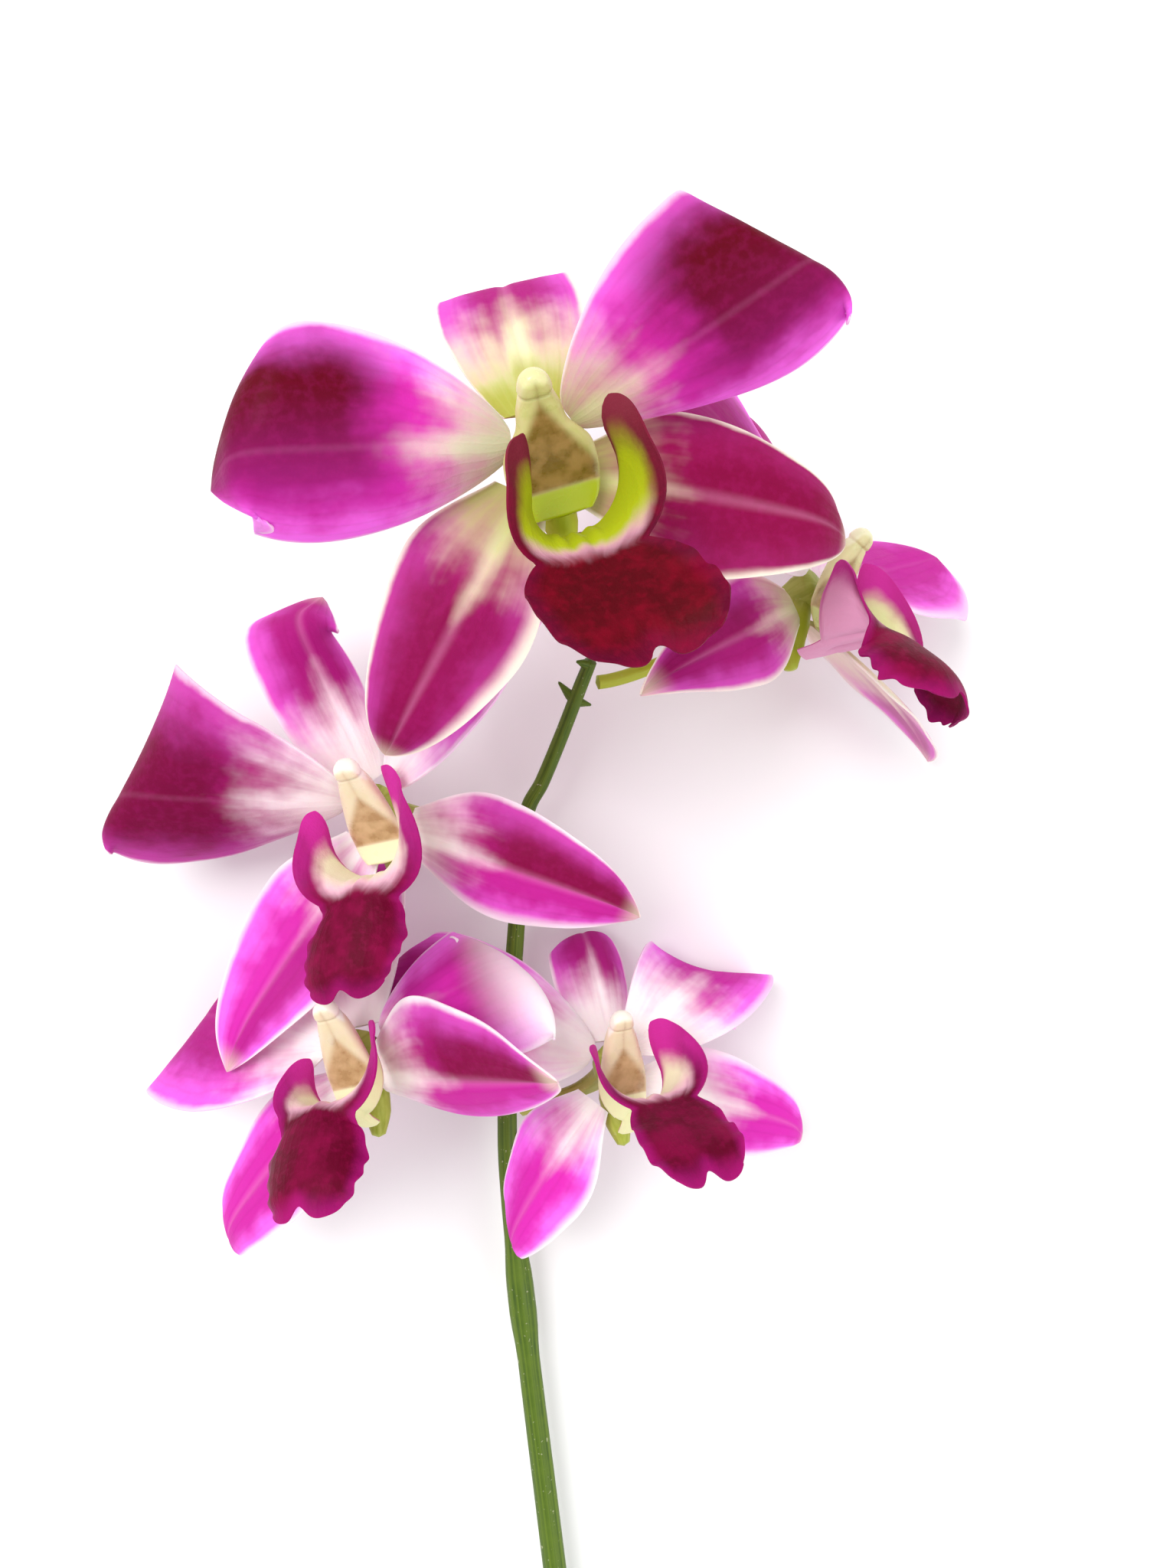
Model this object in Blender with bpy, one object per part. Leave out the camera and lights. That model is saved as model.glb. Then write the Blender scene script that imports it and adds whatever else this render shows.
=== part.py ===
"""A cut dendrobium spray lying on its back: one flower stem that carries five open blooms."""

from math import cos, pi, radians, sin

import bmesh
import bpy
import numpy as np
from mathutils import Vector

# Lengths are in millimetres and angles in degrees until a mesh is written in metres.
MM = 0.001
BLADE_THICKNESS = 0.95

# How the spray is tipped and moved so that it rests on its lowest points, centred over the origin.
REST_TURN = (-2.5, -5.2, 0.0)
REST_AT = (6.81, 60.42, -3.56)


# Scene and materials

def clear_scene():
    for thing in list(bpy.data.objects):
        bpy.data.objects.remove(thing, do_unlink=True)


def material(name, colour, roughness):
    made = bpy.data.materials.new(name)
    made.use_nodes = True
    shader = made.node_tree.nodes["Principled BSDF"]
    shader.inputs["Base Color"].default_value = (*colour, 1.0)
    shader.inputs["Roughness"].default_value = roughness
    shader.inputs["Metallic"].default_value = 0.0
    made.diffuse_color = (*colour, 1.0)
    return made


def stem_material():
    return material("stem_green", (0.20, 0.30, 0.07), 0.5)


def stalk_material():
    return material("stalk_pale_green", (0.52, 0.58, 0.26), 0.5)


def sepal_material():
    return material("sepal_magenta", (0.55, 0.04, 0.32), 0.55)


def petal_material():
    return material("petal_magenta", (0.62, 0.05, 0.40), 0.55)


def lip_material():
    return material("lip_burgundy", (0.25, 0.01, 0.08), 0.45)


def column_material():
    return material("column_cream", (0.75, 0.72, 0.42), 0.4)


# Curves and sections

def smooth(value, start, end):
    share = np.clip((value - start) / (end - start), 0, 1)
    return share * share * (3 - 2 * share)


def arc(angles, step):
    """Distance along and height gained by a line that points along these angles in turn."""
    along = (np.cos(angles[1:]) + np.cos(angles[:-1])) / 2
    rise = (np.sin(angles[1:]) + np.sin(angles[:-1])) / 2
    return np.append(0, np.cumsum(along)) * step, np.append(0, np.cumsum(rise)) * step


def bezier(points, count):
    """Points along one cubic curve with these four control points."""
    a, b, c, d = (Vector(point) for point in points)
    made = []
    for i in range(count + 1):
        t = i / count
        made.append((1 - t) ** 3 * a + 3 * t * (1 - t) ** 2 * b + 3 * t * t * (1 - t) * c + t ** 3 * d)
    return made


def through(points, steps):
    """Points along a smooth curve through all of these, with this many steps between neighbours."""
    points = [Vector(point) for point in points]
    ends = [2 * points[0] - points[1]] + points + [2 * points[-1] - points[-2]]
    made = []
    for a, b, c, d in zip(ends, ends[1:], ends[2:], ends[3:]):
        for i in range(steps):
            t = i / steps
            made.append(0.5 * (2 * b + (c - a) * t + (2 * a - 5 * b + 4 * c - d) * t ** 2
                               + (3 * b - a - 3 * c + d) * t ** 3))
    made.append(points[-1])
    return made


# Solids

def solid_object(name, shape, parent, tissue):
    mesh = bpy.data.meshes.new(name)
    shape.to_mesh(mesh)
    shape.free()
    mesh.materials.append(tissue)
    made = bpy.data.objects.new(name, mesh)
    bpy.context.scene.collection.objects.link(made)
    made.parent = parent
    return made


def tube(name, path, radii, sides, parent, tissue, back=(0, 1, 0), groove=0.0, widths=None):
    """A closed solid round a path. Widths are its radii across, where they aren't those towards the back.
    The side away from back can be hollowed."""
    path = [Vector(point) for point in path]
    widths = radii if widths is None else widths
    shape = bmesh.new()
    rings = []
    back = Vector(back)
    for i, centre in enumerate(path):
        ahead = (path[min(i + 1, len(path) - 1)] - path[max(i - 1, 0)]).normalized()
        back = (back - back.dot(ahead) * ahead).normalized()
        across = ahead.cross(back)
        ring = []
        for k in range(sides):
            angle = 2 * pi * k / sides
            behind = float(radii[i]) * cos(angle) * (1 - groove * max(0, -cos(angle)) ** 2)
            beside = float(widths[i]) * sin(angle)
            ring.append(shape.verts.new((centre + behind * back + beside * across) * MM))
        rings.append(ring)
    for low, high in zip(rings, rings[1:]):
        for k in range(sides):
            after = (k + 1) % sides
            shape.faces.new((low[k], low[after], high[after], high[k]))
    shape.faces.new(rings[0][::-1])
    shape.faces.new(rings[-1])
    bmesh.ops.recalc_face_normals(shape, faces=shape.faces)
    bmesh.ops.triangulate(shape, faces=shape.faces)
    return solid_object(name, shape, parent, tissue)


def blade(name, rows, columns, points, parent, tissue):
    """A thin leaf: points(t, s) gives its middle surface at share t of the length, s across from -1 to 1."""
    bpy.ops.mesh.primitive_grid_add(x_subdivisions=columns, y_subdivisions=rows, size=2)
    made = bpy.context.object
    made.name = name
    made.data.name = name
    shape = bmesh.new()
    shape.from_mesh(made.data)
    s = np.array([vert.co.x for vert in shape.verts])
    t = np.array([(vert.co.y + 1) / 2 for vert in shape.verts])
    for vert, place in zip(shape.verts, points(t, s)):
        vert.co = place * MM
    bmesh.ops.remove_doubles(shape, verts=shape.verts, dist=0.001 * MM)
    bmesh.ops.triangulate(shape, faces=shape.faces, quad_method="SHORT_EDGE")
    shape.to_mesh(made.data)
    shape.free()
    made.data.materials.append(tissue)
    thicken = made.modifiers.new("thickness", "SOLIDIFY")
    thicken.thickness = BLADE_THICKNESS * MM
    thicken.offset = 0
    made.parent = parent
    return made


def fuse(body, extras):
    """Joins each extra solid to the body and removes it as an object of its own."""
    for extra in extras:
        union = body.modifiers.new("join", "BOOLEAN")
        union.operation = "UNION"
        union.object = extra
        bpy.context.view_layer.objects.active = body
        bpy.ops.object.modifier_apply(modifier=union.name)
        bpy.data.objects.remove(extra, do_unlink=True)


def soften(thing, sharp=50):
    """Shades a round piece smooth except across its sharp edges."""
    for face in thing.data.polygons:
        face.use_smooth = True
    thing.data.set_sharp_from_angle(angle=radians(sharp))


# Sepals and petals

# The share of the width at the claw, where it is widest, how slowly it widens and how late it narrows.
OUTLINE = {
    "dorsal": (0.42, 0.45, 0.8, 2.2),
    "petal": (0.16, 0.54, 0.75, 2.2),
    "lateral": (0.42, 0.30, 1.1, 1.7),
}

# Azimuth is measured in the bloom's plane from its top. Lift leans the claw to the front, bow and
# fold bend the blade back along its length, and the pair of curls rolls its left and right halves.
# The fold lies at fold_at, along a line that skew turns, and is fold_reach long each way. A low
# blunt gives a round end. Radius and depth seat the claw round the bloom's middle.
DORSAL = dict(azimuth=0, length=38, width=20, lift=8, bow=30, fold=60, fold_at=0.80, fold_reach=0.16,
              curl=(15, 15), skew=0, roll=0, twist=0, blunt=0.75, radius=3.7, depth=-1.6)
PETAL = dict(azimuth=68, length=41, width=32, lift=12, bow=25, fold=80, fold_at=0.80, fold_reach=0.16,
             curl=(15, 15), skew=0, roll=0, twist=0, blunt=0.6, radius=4.0, depth=0.9)
LATERAL = dict(azimuth=124, length=38, width=20, lift=2, bow=30, fold=30, fold_at=0.80, fold_reach=0.16,
               curl=(15, 15), skew=0, roll=0, twist=0, blunt=0.85, radius=0.4, depth=-2.8)
LATERAL_SEAT = (3.1, -4.6)
INNER_CUT = 0.3


def half_width(t, kind, blunt):
    """Half the width at share t of the length, as a share of the greatest half width."""
    claw, widest, slow, fall = OUTLINE[kind]
    up = claw + (1 - claw) * np.sin(pi / 2 * np.clip(t / widest, 0, 1)) ** slow
    down = np.clip((t - widest) / (1 - widest), 0, 1)
    return up * (1 - down ** fall) ** blunt


def tepal_points(kind, side, size, t, s):
    """The middle surface of a sepal or petal, x across, y along, z to the front."""
    t = 1 - (1 - t) ** 1.35
    length = size["length"]
    width = size["width"] / 2 * half_width(t, kind, size["blunt"])
    if kind == "lateral":
        # The half beside the lip is narrower near the chin.
        width *= 1 - INNER_CUT * (s * side > 0) * (1 - smooth(t, 0.05, 0.5))
    curl = np.radians(np.where(s < 0, size["curl"][0], size["curl"][1])) * np.abs(s)
    curl = np.where(np.abs(curl) < 1e-4, 1e-4, curl)
    x = width * s * np.sin(curl) / curl
    z = -width * np.abs(s) * (1 - np.cos(curl)) / curl
    turn = np.radians(size["roll"] + size["twist"] * t)
    x, z = x * np.cos(turn) + z * np.sin(turn), z * np.cos(turn) - x * np.sin(turn)
    # The blade bends round lines that lie skew to its length.
    skew = radians(size["skew"])
    along = t * length * cos(skew) + x * sin(skew)
    beside = x * cos(skew) - t * length * sin(skew)
    fine = np.linspace(-0.5, 1.5, 401)
    place = np.clip(fine, 0, 1.15)
    fold = smooth(place, size["fold_at"] - size["fold_reach"], size["fold_at"] + size["fold_reach"])
    angle = np.radians(-size["lift"] + size["bow"] * place + size["fold"] * fold)
    run, back = arc(angle, length / 200)
    run = run - np.interp(0, fine, run)
    back = np.interp(0, fine, back) - back
    here = along / length
    tilt = np.interp(here, fine, angle)
    far = np.interp(here, fine, run) + z * np.sin(tilt)
    front = np.interp(here, fine, back) + z * np.cos(tilt)
    return np.stack([beside * cos(skew) + far * sin(skew), far * cos(skew) - beside * sin(skew), front], -1)


def tepal(name, kind, side, base, changes, bloom, tissue):
    """One sepal or petal, seated round the middle of its bloom. Side is -1 left, 1 right, 0 on top."""
    shape = dict(base, **changes)
    scale = bloom["size"]
    made = blade(name, 11, 6, lambda t, s: tepal_points(kind, side, shape, t, s) * scale,
                 bloom["empty"], tissue)
    turn = radians(shape["azimuth"]) * (side or 1)
    seat = LATERAL_SEAT if kind == "lateral" else (0, 0)
    across = side * seat[0] + shape["radius"] * sin(turn)
    place = (across, seat[1] + shape["radius"] * cos(turn), shape["depth"])
    made.location = Vector(place) * scale * MM
    made.rotation_euler = (0, 0, -turn)
    return made


def dorsal_sepal(bloom):
    changes = bloom.get("dorsal_sepal", {})
    return tepal(f"{bloom['name']}_dorsal_sepal", "dorsal", 0, DORSAL, changes, bloom, TISSUE["sepal"])


def petal(bloom, hand, side):
    changes = bloom.get(f"petal_{hand}", {})
    return tepal(f"{bloom['name']}_petal_{hand}", "petal", side, PETAL, changes, bloom, TISSUE["petal"])


def lateral_sepal(bloom, hand, side):
    changes = bloom.get(f"lateral_sepal_{hand}", {})
    name = f"{bloom['name']}_lateral_sepal_{hand}"
    return tepal(name, "lateral", side, LATERAL, changes, bloom, TISSUE["sepal"])


# Lip

# The lip runs forwards from the end of the chin at root_up and root_front, bends down by droop at
# its knee and again by tip. Its left and right sides stand up as lobes that reach wall from the
# middle, turn up over floor and lean out again by flare.
LIP = dict(length=36, root_up=-10.5, root_front=-4.0, rise=0, droop=66, knee=0.47, tip=18, wall=(15, 15),
           waist=6.5, blade=9.5, floor=(10, 10), wall_bend=92, flare=(11, 11), blade_bend=-30, bend=0,
           ripple=0.5, notch=0.06)
LIP_CLAW = 1.6
KEEL_HEIGHT = 0.7


def of_side(pair, s):
    return np.where(s < 0, pair[0], pair[1])


def lip_width(t, s, size):
    """Half the width of the flattened lip: side lobes, then a waist, then the front lobe."""
    lobes = smooth(t, 0.12, 0.26) * (1 - smooth(t, 0.28, 0.60)) ** 0.8
    lobes = LIP_CLAW + (of_side(size["wall"], s) - LIP_CLAW) * lobes
    reach = np.where(t > 0.74, 0.275, 0.30)
    front = size["blade"] * np.sqrt(np.clip(1 - np.abs((t - 0.74) / reach) ** 2.4, 0, 1))
    neck = np.where(t < 0.3, LIP_CLAW + 4.0 * t, size["waist"])
    return np.maximum(np.maximum(lobes, front), neck)


def lip_points(size, t, s):
    """The middle surface of the lip in its bloom: x to the right, y up, z to the front."""
    fine = np.linspace(0, 1, 401)
    knee = smooth(fine, size["knee"] - 0.12, size["knee"] + 0.12)
    angle = np.radians(size["rise"] + size["droop"] * knee + size["tip"] * smooth(fine, 0.7, 1.0))
    forward, down = arc(angle, size["length"] / 400)
    notch = size["notch"] * np.exp(-(s / 0.22) ** 2) + 0.05 * np.abs(s) ** 4
    t = t * (1 - notch * smooth(t, 0.75, 1.0))
    half = lip_width(t, s, size)
    reach = np.abs(s) * half
    wall = of_side(size["wall"], s)[:, None]
    floor = of_side(size["floor"], s)[:, None]
    flare = np.radians(of_side(size["flare"], s))[:, None]
    open_out = smooth(t, 0.38, 0.56)
    # The section is followed outwards from the middle in short steps that turn up into a wall.
    steps = 30
    out = (np.arange(steps) + 0.5) / steps * reach[:, None]
    blend = open_out[:, None]
    turn_over = floor * (1 - blend) + half[:, None] * blend
    closing = size["wall_bend"] * (1.12 - 0.35 * smooth(t, 0.18, 0.48))[:, None]
    top = np.radians(closing * (1 - blend) + size["blade_bend"] * blend)
    past = np.clip((out - floor) / (wall - floor), 0, 1) * (1 - blend)
    slope = top * np.clip(out / turn_over, 0, 1) - flare * past ** 1.5
    x = np.cos(slope).mean(-1) * reach
    height = np.sin(slope).mean(-1) * reach
    height += size["ripple"] * np.abs(s) ** 3 * np.sin(7.2 * pi * t + 1.3 * np.sign(s)) * smooth(t, 0.5, 0.7)
    height += KEEL_HEIGHT * np.exp(-(x / 1.2) ** 2) * smooth(t, 0.08, 0.2) * (1 - smooth(t, 0.42, 0.54))
    lean = np.interp(t, fine, angle)
    front = np.interp(t, fine, forward) + size["root_front"] + height * np.sin(lean)
    up = size["root_up"] - np.interp(t, fine, down) + height * np.cos(lean)
    right = x * np.sign(s) + size["bend"] * smooth(t, 0.4, 1.0)
    return np.stack([right, up, front], -1)


def lip(bloom):
    shape = dict(LIP, **bloom.get("lip", {}))
    scale = bloom["size"]
    return blade(f"{bloom['name']}_lip", 18, 12, lambda t, s: lip_points(shape, t, s) * scale,
                 bloom["empty"], TISSUE["lip"])


# Column, ovary and stalk

# The column from the end of its foot above the lip, up over the throat to the anther cap: how high
# and how far to the front, half its depth and half its width. It narrows to a groove at the cap.
COLUMN = (
    (-8.7, -0.4, 0.4, 2.3),
    (-7.2, -0.2, 0.5, 3.2),
    (-5.2, 0.3, 0.8, 3.7),
    (-3.4, 1.5, 1.2, 3.8),
    (-1.4, 2.9, 1.6, 3.5),
    (0.6, 4.4, 1.9, 3.0),
    (2.2, 5.8, 2.0, 2.5),
    (3.2, 7.0, 1.8, 2.0),
    (3.8, 8.0, 1.9, 1.9),
    (4.2, 9.0, 1.5, 1.5),
    (4.4, 9.7, 0.5, 0.5),
)


def column(bloom):
    """The column rises from its foot, arches over the throat and ends in its anther cap."""
    scale = bloom["size"]
    path = [Vector((0, up, front)) * scale for up, front, deep, wide in COLUMN]
    depths = [deep * scale for up, front, deep, wide in COLUMN]
    broad = scale * bloom.get("broad", 1.0)
    widths = [wide * (broad if up < 0 else scale) for up, front, deep, wide in COLUMN]
    made = tube(f"{bloom['name']}_column", path, depths, 12, bloom["empty"], TISSUE["column"],
                (0, 0, -1), 0.3, widths)
    soften(made)
    return made


def stalk(bloom):
    """The pedicel from the stem, swelling into the ovary, with the chin fused on below the bloom."""
    scale = bloom["size"]
    middle = Vector(bloom["at"])
    turn = bloom["empty"].rotation_euler.to_matrix()
    front = turn @ Vector((0, 0, 1))
    up = turn @ Vector((0, 1, 0))
    leave = Vector(bloom["leaves"]).normalized()
    start = Vector(bloom["node"]) + bloom["off"] * leave
    end = middle - 6 * scale * front
    path = bezier((start, start + 8 * leave, end - 10 * front, end), 12)
    radii = [1.1 + 0.75 * max(0, i / 12 - 0.55) / 0.45 for i in range(13)]
    for ahead, radius in ((-3, 2.8), (-0.8, 3.1), (0.2, 1.8)):
        path.append(middle + ahead * scale * front)
        radii.append(radius * scale)
    name = f"{bloom['name']}_stalk"
    made = tube(name, path, radii, 10, bloom["empty"].parent, TISSUE["stalk"], up)
    chin = []
    for rise, ahead in ((-1.0, -3.0), (-4.5, -5.0), (-8.5, -6.3), (-12.0, -6.6)):
        chin.append(middle + scale * (rise * up + ahead * front))
    chin_radii = [radius * scale for radius in (1.9, 2.5, 2.1, 0.9)]
    extra = tube(name + "_chin", chin, chin_radii, 8, bloom["empty"].parent, TISSUE["stalk"], front)
    fuse(made, [extra])
    soften(made)
    return made


# Flower stem

# Points that the stem passes through from its cut end to its tip, with the radius at each.
STEM = (
    ((2.0, -190.0, 2.1), 1.95),
    ((-2.5, -156.0, 3.2), 1.95),
    ((-5.5, -129.5, 4.5), 1.9),
    ((-10.0, -91.0, 7.0), 1.8),
    ((-12.5, -66.5, 9.0), 1.6),
    ((-13.0, -53.5, 10.0), 1.55),
    ((-12.5, -40.0, 11.0), 1.45),
    ((-11.5, -24.5, 13.0), 1.35),
    ((-10.5, -14.0, 15.0), 1.25),
    ((-9.5, -4.5, 17.0), 1.2),
    ((-7.0, 0.5, 18.5), 1.15),
    ((-4.0, 7.5, 21.0), 1.1),
    ((-1.0, 15.0, 24.0), 1.05),
    ((0.5, 18.5, 26.0), 0.95),
)
STEM_STEPS = 3
JOINTS = (1, 3)
SHEATH = 0.45


def bract(name, node, leaves, parent, length=2.6, root=0.8):
    """A small pointed scale that grows from the stem beside a stalk."""
    lean = Vector(leaves).normalized()
    path = [Vector(node) + share * length * lean for share in (-0.1, 0.35, 0.7, 1.0)]
    radii = (root, root * 0.85, root * 0.5, 0.15)
    return tube(name, path, radii, 7, parent, TISSUE["stem"], (0, 0, 1))


def flower_stem(blooms, parent):
    path = through([point for point, radius in STEM], STEM_STEPS)
    radii = [radius for point, radius in STEM]
    sizes = np.interp(np.arange(len(path)), STEM_STEPS * np.arange(len(STEM)), radii)
    # A sheath clasps the stem just above each lower joint.
    for joint in JOINTS:
        sizes[STEM_STEPS * joint + 1] += SHEATH
    made = tube("flower_stem", path, sizes, 10, parent, TISSUE["stem"], (0, 0, 1))
    extras = []
    for bloom in blooms:
        leaves = Vector(bloom["leaves"]) * 0.4 + Vector(bloom["bract"])
        extras.append(bract(bloom["name"] + "_bract", bloom["bract_at"], leaves, parent))
    extras.append(bract("dry_stub", (-1.9, 12.4, 22.9), (-0.6, 0.7, 0.1), parent, 4.0, 0.9))
    fuse(made, extras)
    soften(made)
    return made


# Blooms

# Each bloom lists only what differs from the sepal, petal and lip above. It looks along yaw towards
# the right and pitch down, spins clockwise, and its stalk leaves the stem at node. Broad widens
# the lower part of its column.
BLOOM_1 = dict(
    name="bloom_1", broad=1.4, at=(-5.5, 41.0, 62.0), turn=(4, 0, -17), size=1.07,
    node=(0.5, 18.5, 26.0), leaves=(0.3, 0.85, 0.45), off=0.5, bract_at=(0.1, 17.7, 25.6),
    bract=(-0.9, -0.2, 0.6),
    dorsal_sepal=dict(azimuth=5, length=35, width=17, lift=-9, bow=64, fold=112, fold_at=0.66,
                      fold_reach=0.11, curl=(3, 0), skew=-6, roll=2, twist=3),
    petal_left=dict(azimuth=80, length=39, width=27.5, lift=29, bow=21, fold=79, fold_at=0.72,
                    fold_reach=0.10, curl=(71, 41), skew=19, roll=-6, twist=-12, blunt=0.87, radius=3.6,
                    depth=0.1),
    petal_right=dict(azimuth=74, length=39.5, width=26, lift=34, bow=29, fold=114, fold_at=0.65,
                     fold_reach=0.07, curl=(3, 74), skew=-32, roll=14, twist=-17, blunt=0.95),
    lateral_sepal_left=dict(azimuth=134, width=19, bow=25, fold=47, curl=(5, 11), skew=-8, roll=4,
                            twist=-5),
    lateral_sepal_right=dict(azimuth=114, length=39, width=19.5, lift=7, bow=35, fold=39, fold_at=0.78,
                             skew=-5, twist=-4, radius=0.1),
    lip=dict(length=29.5, rise=15, droop=38, knee=0.41, tip=21, wall=(15, 18.5), waist=5.5, blade=9.5,
             floor=(7.5, 13.5), wall_bend=98, flare=(8, 49), blade_bend=22, bend=3.5),
)
BLOOM_2 = dict(
    name="bloom_2", at=(34.0, 29.5, 26.0), turn=(55, -20, 20), size=1.0, node=(-1.0, 15.0, 24.0),
    leaves=(0.95, 0.1, -0.25), off=2.2, bract_at=(-1.9, 12.5, 22.9), bract=(0.3, -0.2, -0.1),
    dorsal_sepal=dict(azimuth=-16),
    petal_right=dict(azimuth=65, length=29, width=28.5, lift=32, bow=-8, fold=148, curl=(49, -11),
                     skew=59, roll=-6, twist=16),
    lateral_sepal_left=dict(azimuth=127, length=36.5, width=16, bow=38, curl=(13, 4), skew=23, twist=-4),
    lateral_sepal_right=dict(azimuth=105, length=37, width=21.5, lift=11, bow=23, curl=(24, 8), skew=30,
                             roll=-26, twist=-14, radius=-0.3),
    lip=dict(length=30.5, root_front=-4.3, rise=13, droop=43, knee=0.5, tip=34, wall=(14, 17.5),
             waist=7, blade=12, floor=(10, 8.5), wall_bend=96, flare=(9, 3), blade_bend=-65, bend=1),
)
BLOOM_3 = dict(
    name="bloom_3", at=(-31.0, -3.0, 30.0), turn=(-15, -8, -12), size=1.0, node=(-10.0, -8.5, 16.0),
    leaves=(-0.9, 0.3, 0.3), off=2.0, bract_at=(-10.2, -11.6, 15.5), bract=(-0.3, -0.3, 0),
    dorsal_sepal=dict(azimuth=-11, length=35.5, width=17, lift=34, bow=11, fold=90, fold_at=0.65,
                      fold_reach=0.13, curl=(21, 52), skew=-22, roll=24, twist=27, blunt=0.81,
                      radius=4.1, depth=-1.7),
    petal_left=dict(azimuth=74, length=41.5, width=33.5, lift=43, bow=34, fold=106, fold_at=0.57,
                    fold_reach=0.13, curl=(32, -7), skew=41, roll=-27, twist=12, blunt=0.74),
    petal_right=dict(azimuth=47, length=43, width=28.5, lift=28, bow=16, fold=89, fold_at=0.83,
                     curl=(24, -17), skew=32, roll=-12, twist=10, blunt=0.64),
    lateral_sepal_left=dict(azimuth=139, length=39.5, width=18.5, lift=15, bow=10, curl=(-3, -7),
                            roll=3, twist=-12, depth=-3.2),
    lateral_sepal_right=dict(azimuth=119, width=19, lift=6, bow=36, fold=34, curl=(10, 38), skew=-11,
                             roll=12),
    lip=dict(length=29, root_front=-4.2, rise=8, droop=68, tip=30, wall=(15.5, 19), waist=6, blade=8,
             floor=(11, 9), wall_bend=89, flare=(30, -6), blade_bend=-47, bend=-3.5),
)
BLOOM_4 = dict(
    name="bloom_4", at=(-33.5, -38.0, 32.0), turn=(-22, -22, -15), size=0.97, node=(-12.5, -39.5, 11.0),
    leaves=(-0.8, 0.2, 0.55), off=2.0, bract_at=(-12.6, -42.8, 10.8), bract=(-0.3, -0.1, 0),
    dorsal_sepal=dict(width=16.5, lift=4, bow=26, fold=40, curl=(15, 3), roll=-4),
    petal_left=dict(azimuth=68, length=41.5, width=31, lift=4, bow=42, fold=100, fold_at=0.75,
                    curl=(-8, 12), skew=5, roll=3, twist=13),
    petal_right=dict(azimuth=72, length=38, width=26, lift=7, bow=38, fold=158, fold_at=0.60,
                     curl=(34, 48), skew=-19, twist=-8, radius=5.0, depth=0.2),
    lateral_sepal_left=dict(width=19, bow=33, fold=41, roll=5, twist=4),
    lateral_sepal_right=dict(azimuth=103, length=35, width=25, lift=16, bow=-5, fold=-11, fold_at=0.76,
                             curl=(14, 66), skew=-19, roll=31, twist=10, radius=0, depth=-2.0),
    lip=dict(length=31, root_front=-4.1, rise=-2, droop=71, knee=0.49, tip=26, wall=(12.5, 16), waist=6,
             blade=8.5, floor=(10.5, 10), wall_bend=96, flare=(12, 6), blade_bend=-54),
)
BLOOM_5 = dict(
    name="bloom_5", at=(4.0, -41.5, 24.0), turn=(16, -28, -8), size=0.95, node=(-13.0, -53.0, 10.0),
    leaves=(0.8, 0.35, 0.45), off=2.6, bract_at=(-13.0, -56.5, 9.8), bract=(0.3, -0.1, 0),
    dorsal_sepal=dict(azimuth=7, length=30.5, width=14.5, lift=1, bow=47, fold=126, fold_at=0.74,
                      curl=(30, 51), skew=-17, roll=7, twist=-1),
    petal_left=dict(azimuth=58, length=41.5, width=29.5, lift=12, bow=27, fold=85, curl=(46, 43),
                    skew=-9, roll=4, twist=4, blunt=0.79),
    petal_right=dict(azimuth=60, length=40, width=22, lift=12, bow=100, fold=170, fold_at=0.69,
                     curl=(-33, -7), skew=-24, twist=-28, blunt=0.98, radius=3.6, depth=0.2),
    lateral_sepal_left=dict(azimuth=128, length=34.5, width=17, lift=-19, bow=68, fold=39, fold_at=0.77,
                            curl=(42, 17), skew=21, roll=-2, twist=19, radius=1.0),
    lateral_sepal_right=dict(azimuth=111, length=37, width=18, lift=4, bow=34, fold=39, curl=(18, 45),
                             skew=-3, roll=7, twist=6),
    lip=dict(length=37, root_front=-3, rise=-4, droop=46, knee=0.45, tip=27, wall=(14.5, 17), waist=5,
             blade=7, floor=(9, 10.5), wall_bend=94, flare=(8, 19), blade_bend=0, bend=-0.5),
)


def bloom_empty(bloom, spray):
    """The empty that turns a bloom the way it looks and carries its pieces."""
    made = bpy.data.objects.new(bloom["name"], None)
    bpy.context.scene.collection.objects.link(made)
    yaw, pitch, spin = bloom["turn"]
    made.rotation_mode = "ZXY"
    made.rotation_euler = (radians(pitch), radians(yaw), radians(-spin))
    made.location = Vector(bloom["at"]) * MM
    made.parent = spray
    return made


def build_bloom(bloom, spray):
    bloom["empty"] = bloom_empty(bloom, spray)
    stalk(bloom)
    column(bloom)
    dorsal_sepal(bloom)
    for hand, side in (("left", -1), ("right", 1)):
        petal(bloom, hand, side)
        lateral_sepal(bloom, hand, side)
    lip(bloom)


def spray_empty():
    made = bpy.data.objects.new("spray", None)
    bpy.context.scene.collection.objects.link(made)
    made.rotation_euler = [radians(angle) for angle in REST_TURN]
    made.location = Vector(REST_AT) * MM
    return made


clear_scene()
TISSUE = {
    "stem": stem_material(),
    "stalk": stalk_material(),
    "sepal": sepal_material(),
    "petal": petal_material(),
    "lip": lip_material(),
    "column": column_material(),
}
spray = spray_empty()
blooms = (BLOOM_1, BLOOM_2, BLOOM_3, BLOOM_4, BLOOM_5)
flower_stem(blooms, spray)
for one in blooms:
    build_bloom(one, spray)
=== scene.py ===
from math import cos, pi, radians, sin

import bmesh
import bpy
import numpy as np
from mathutils import Euler, Matrix, Vector


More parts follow.
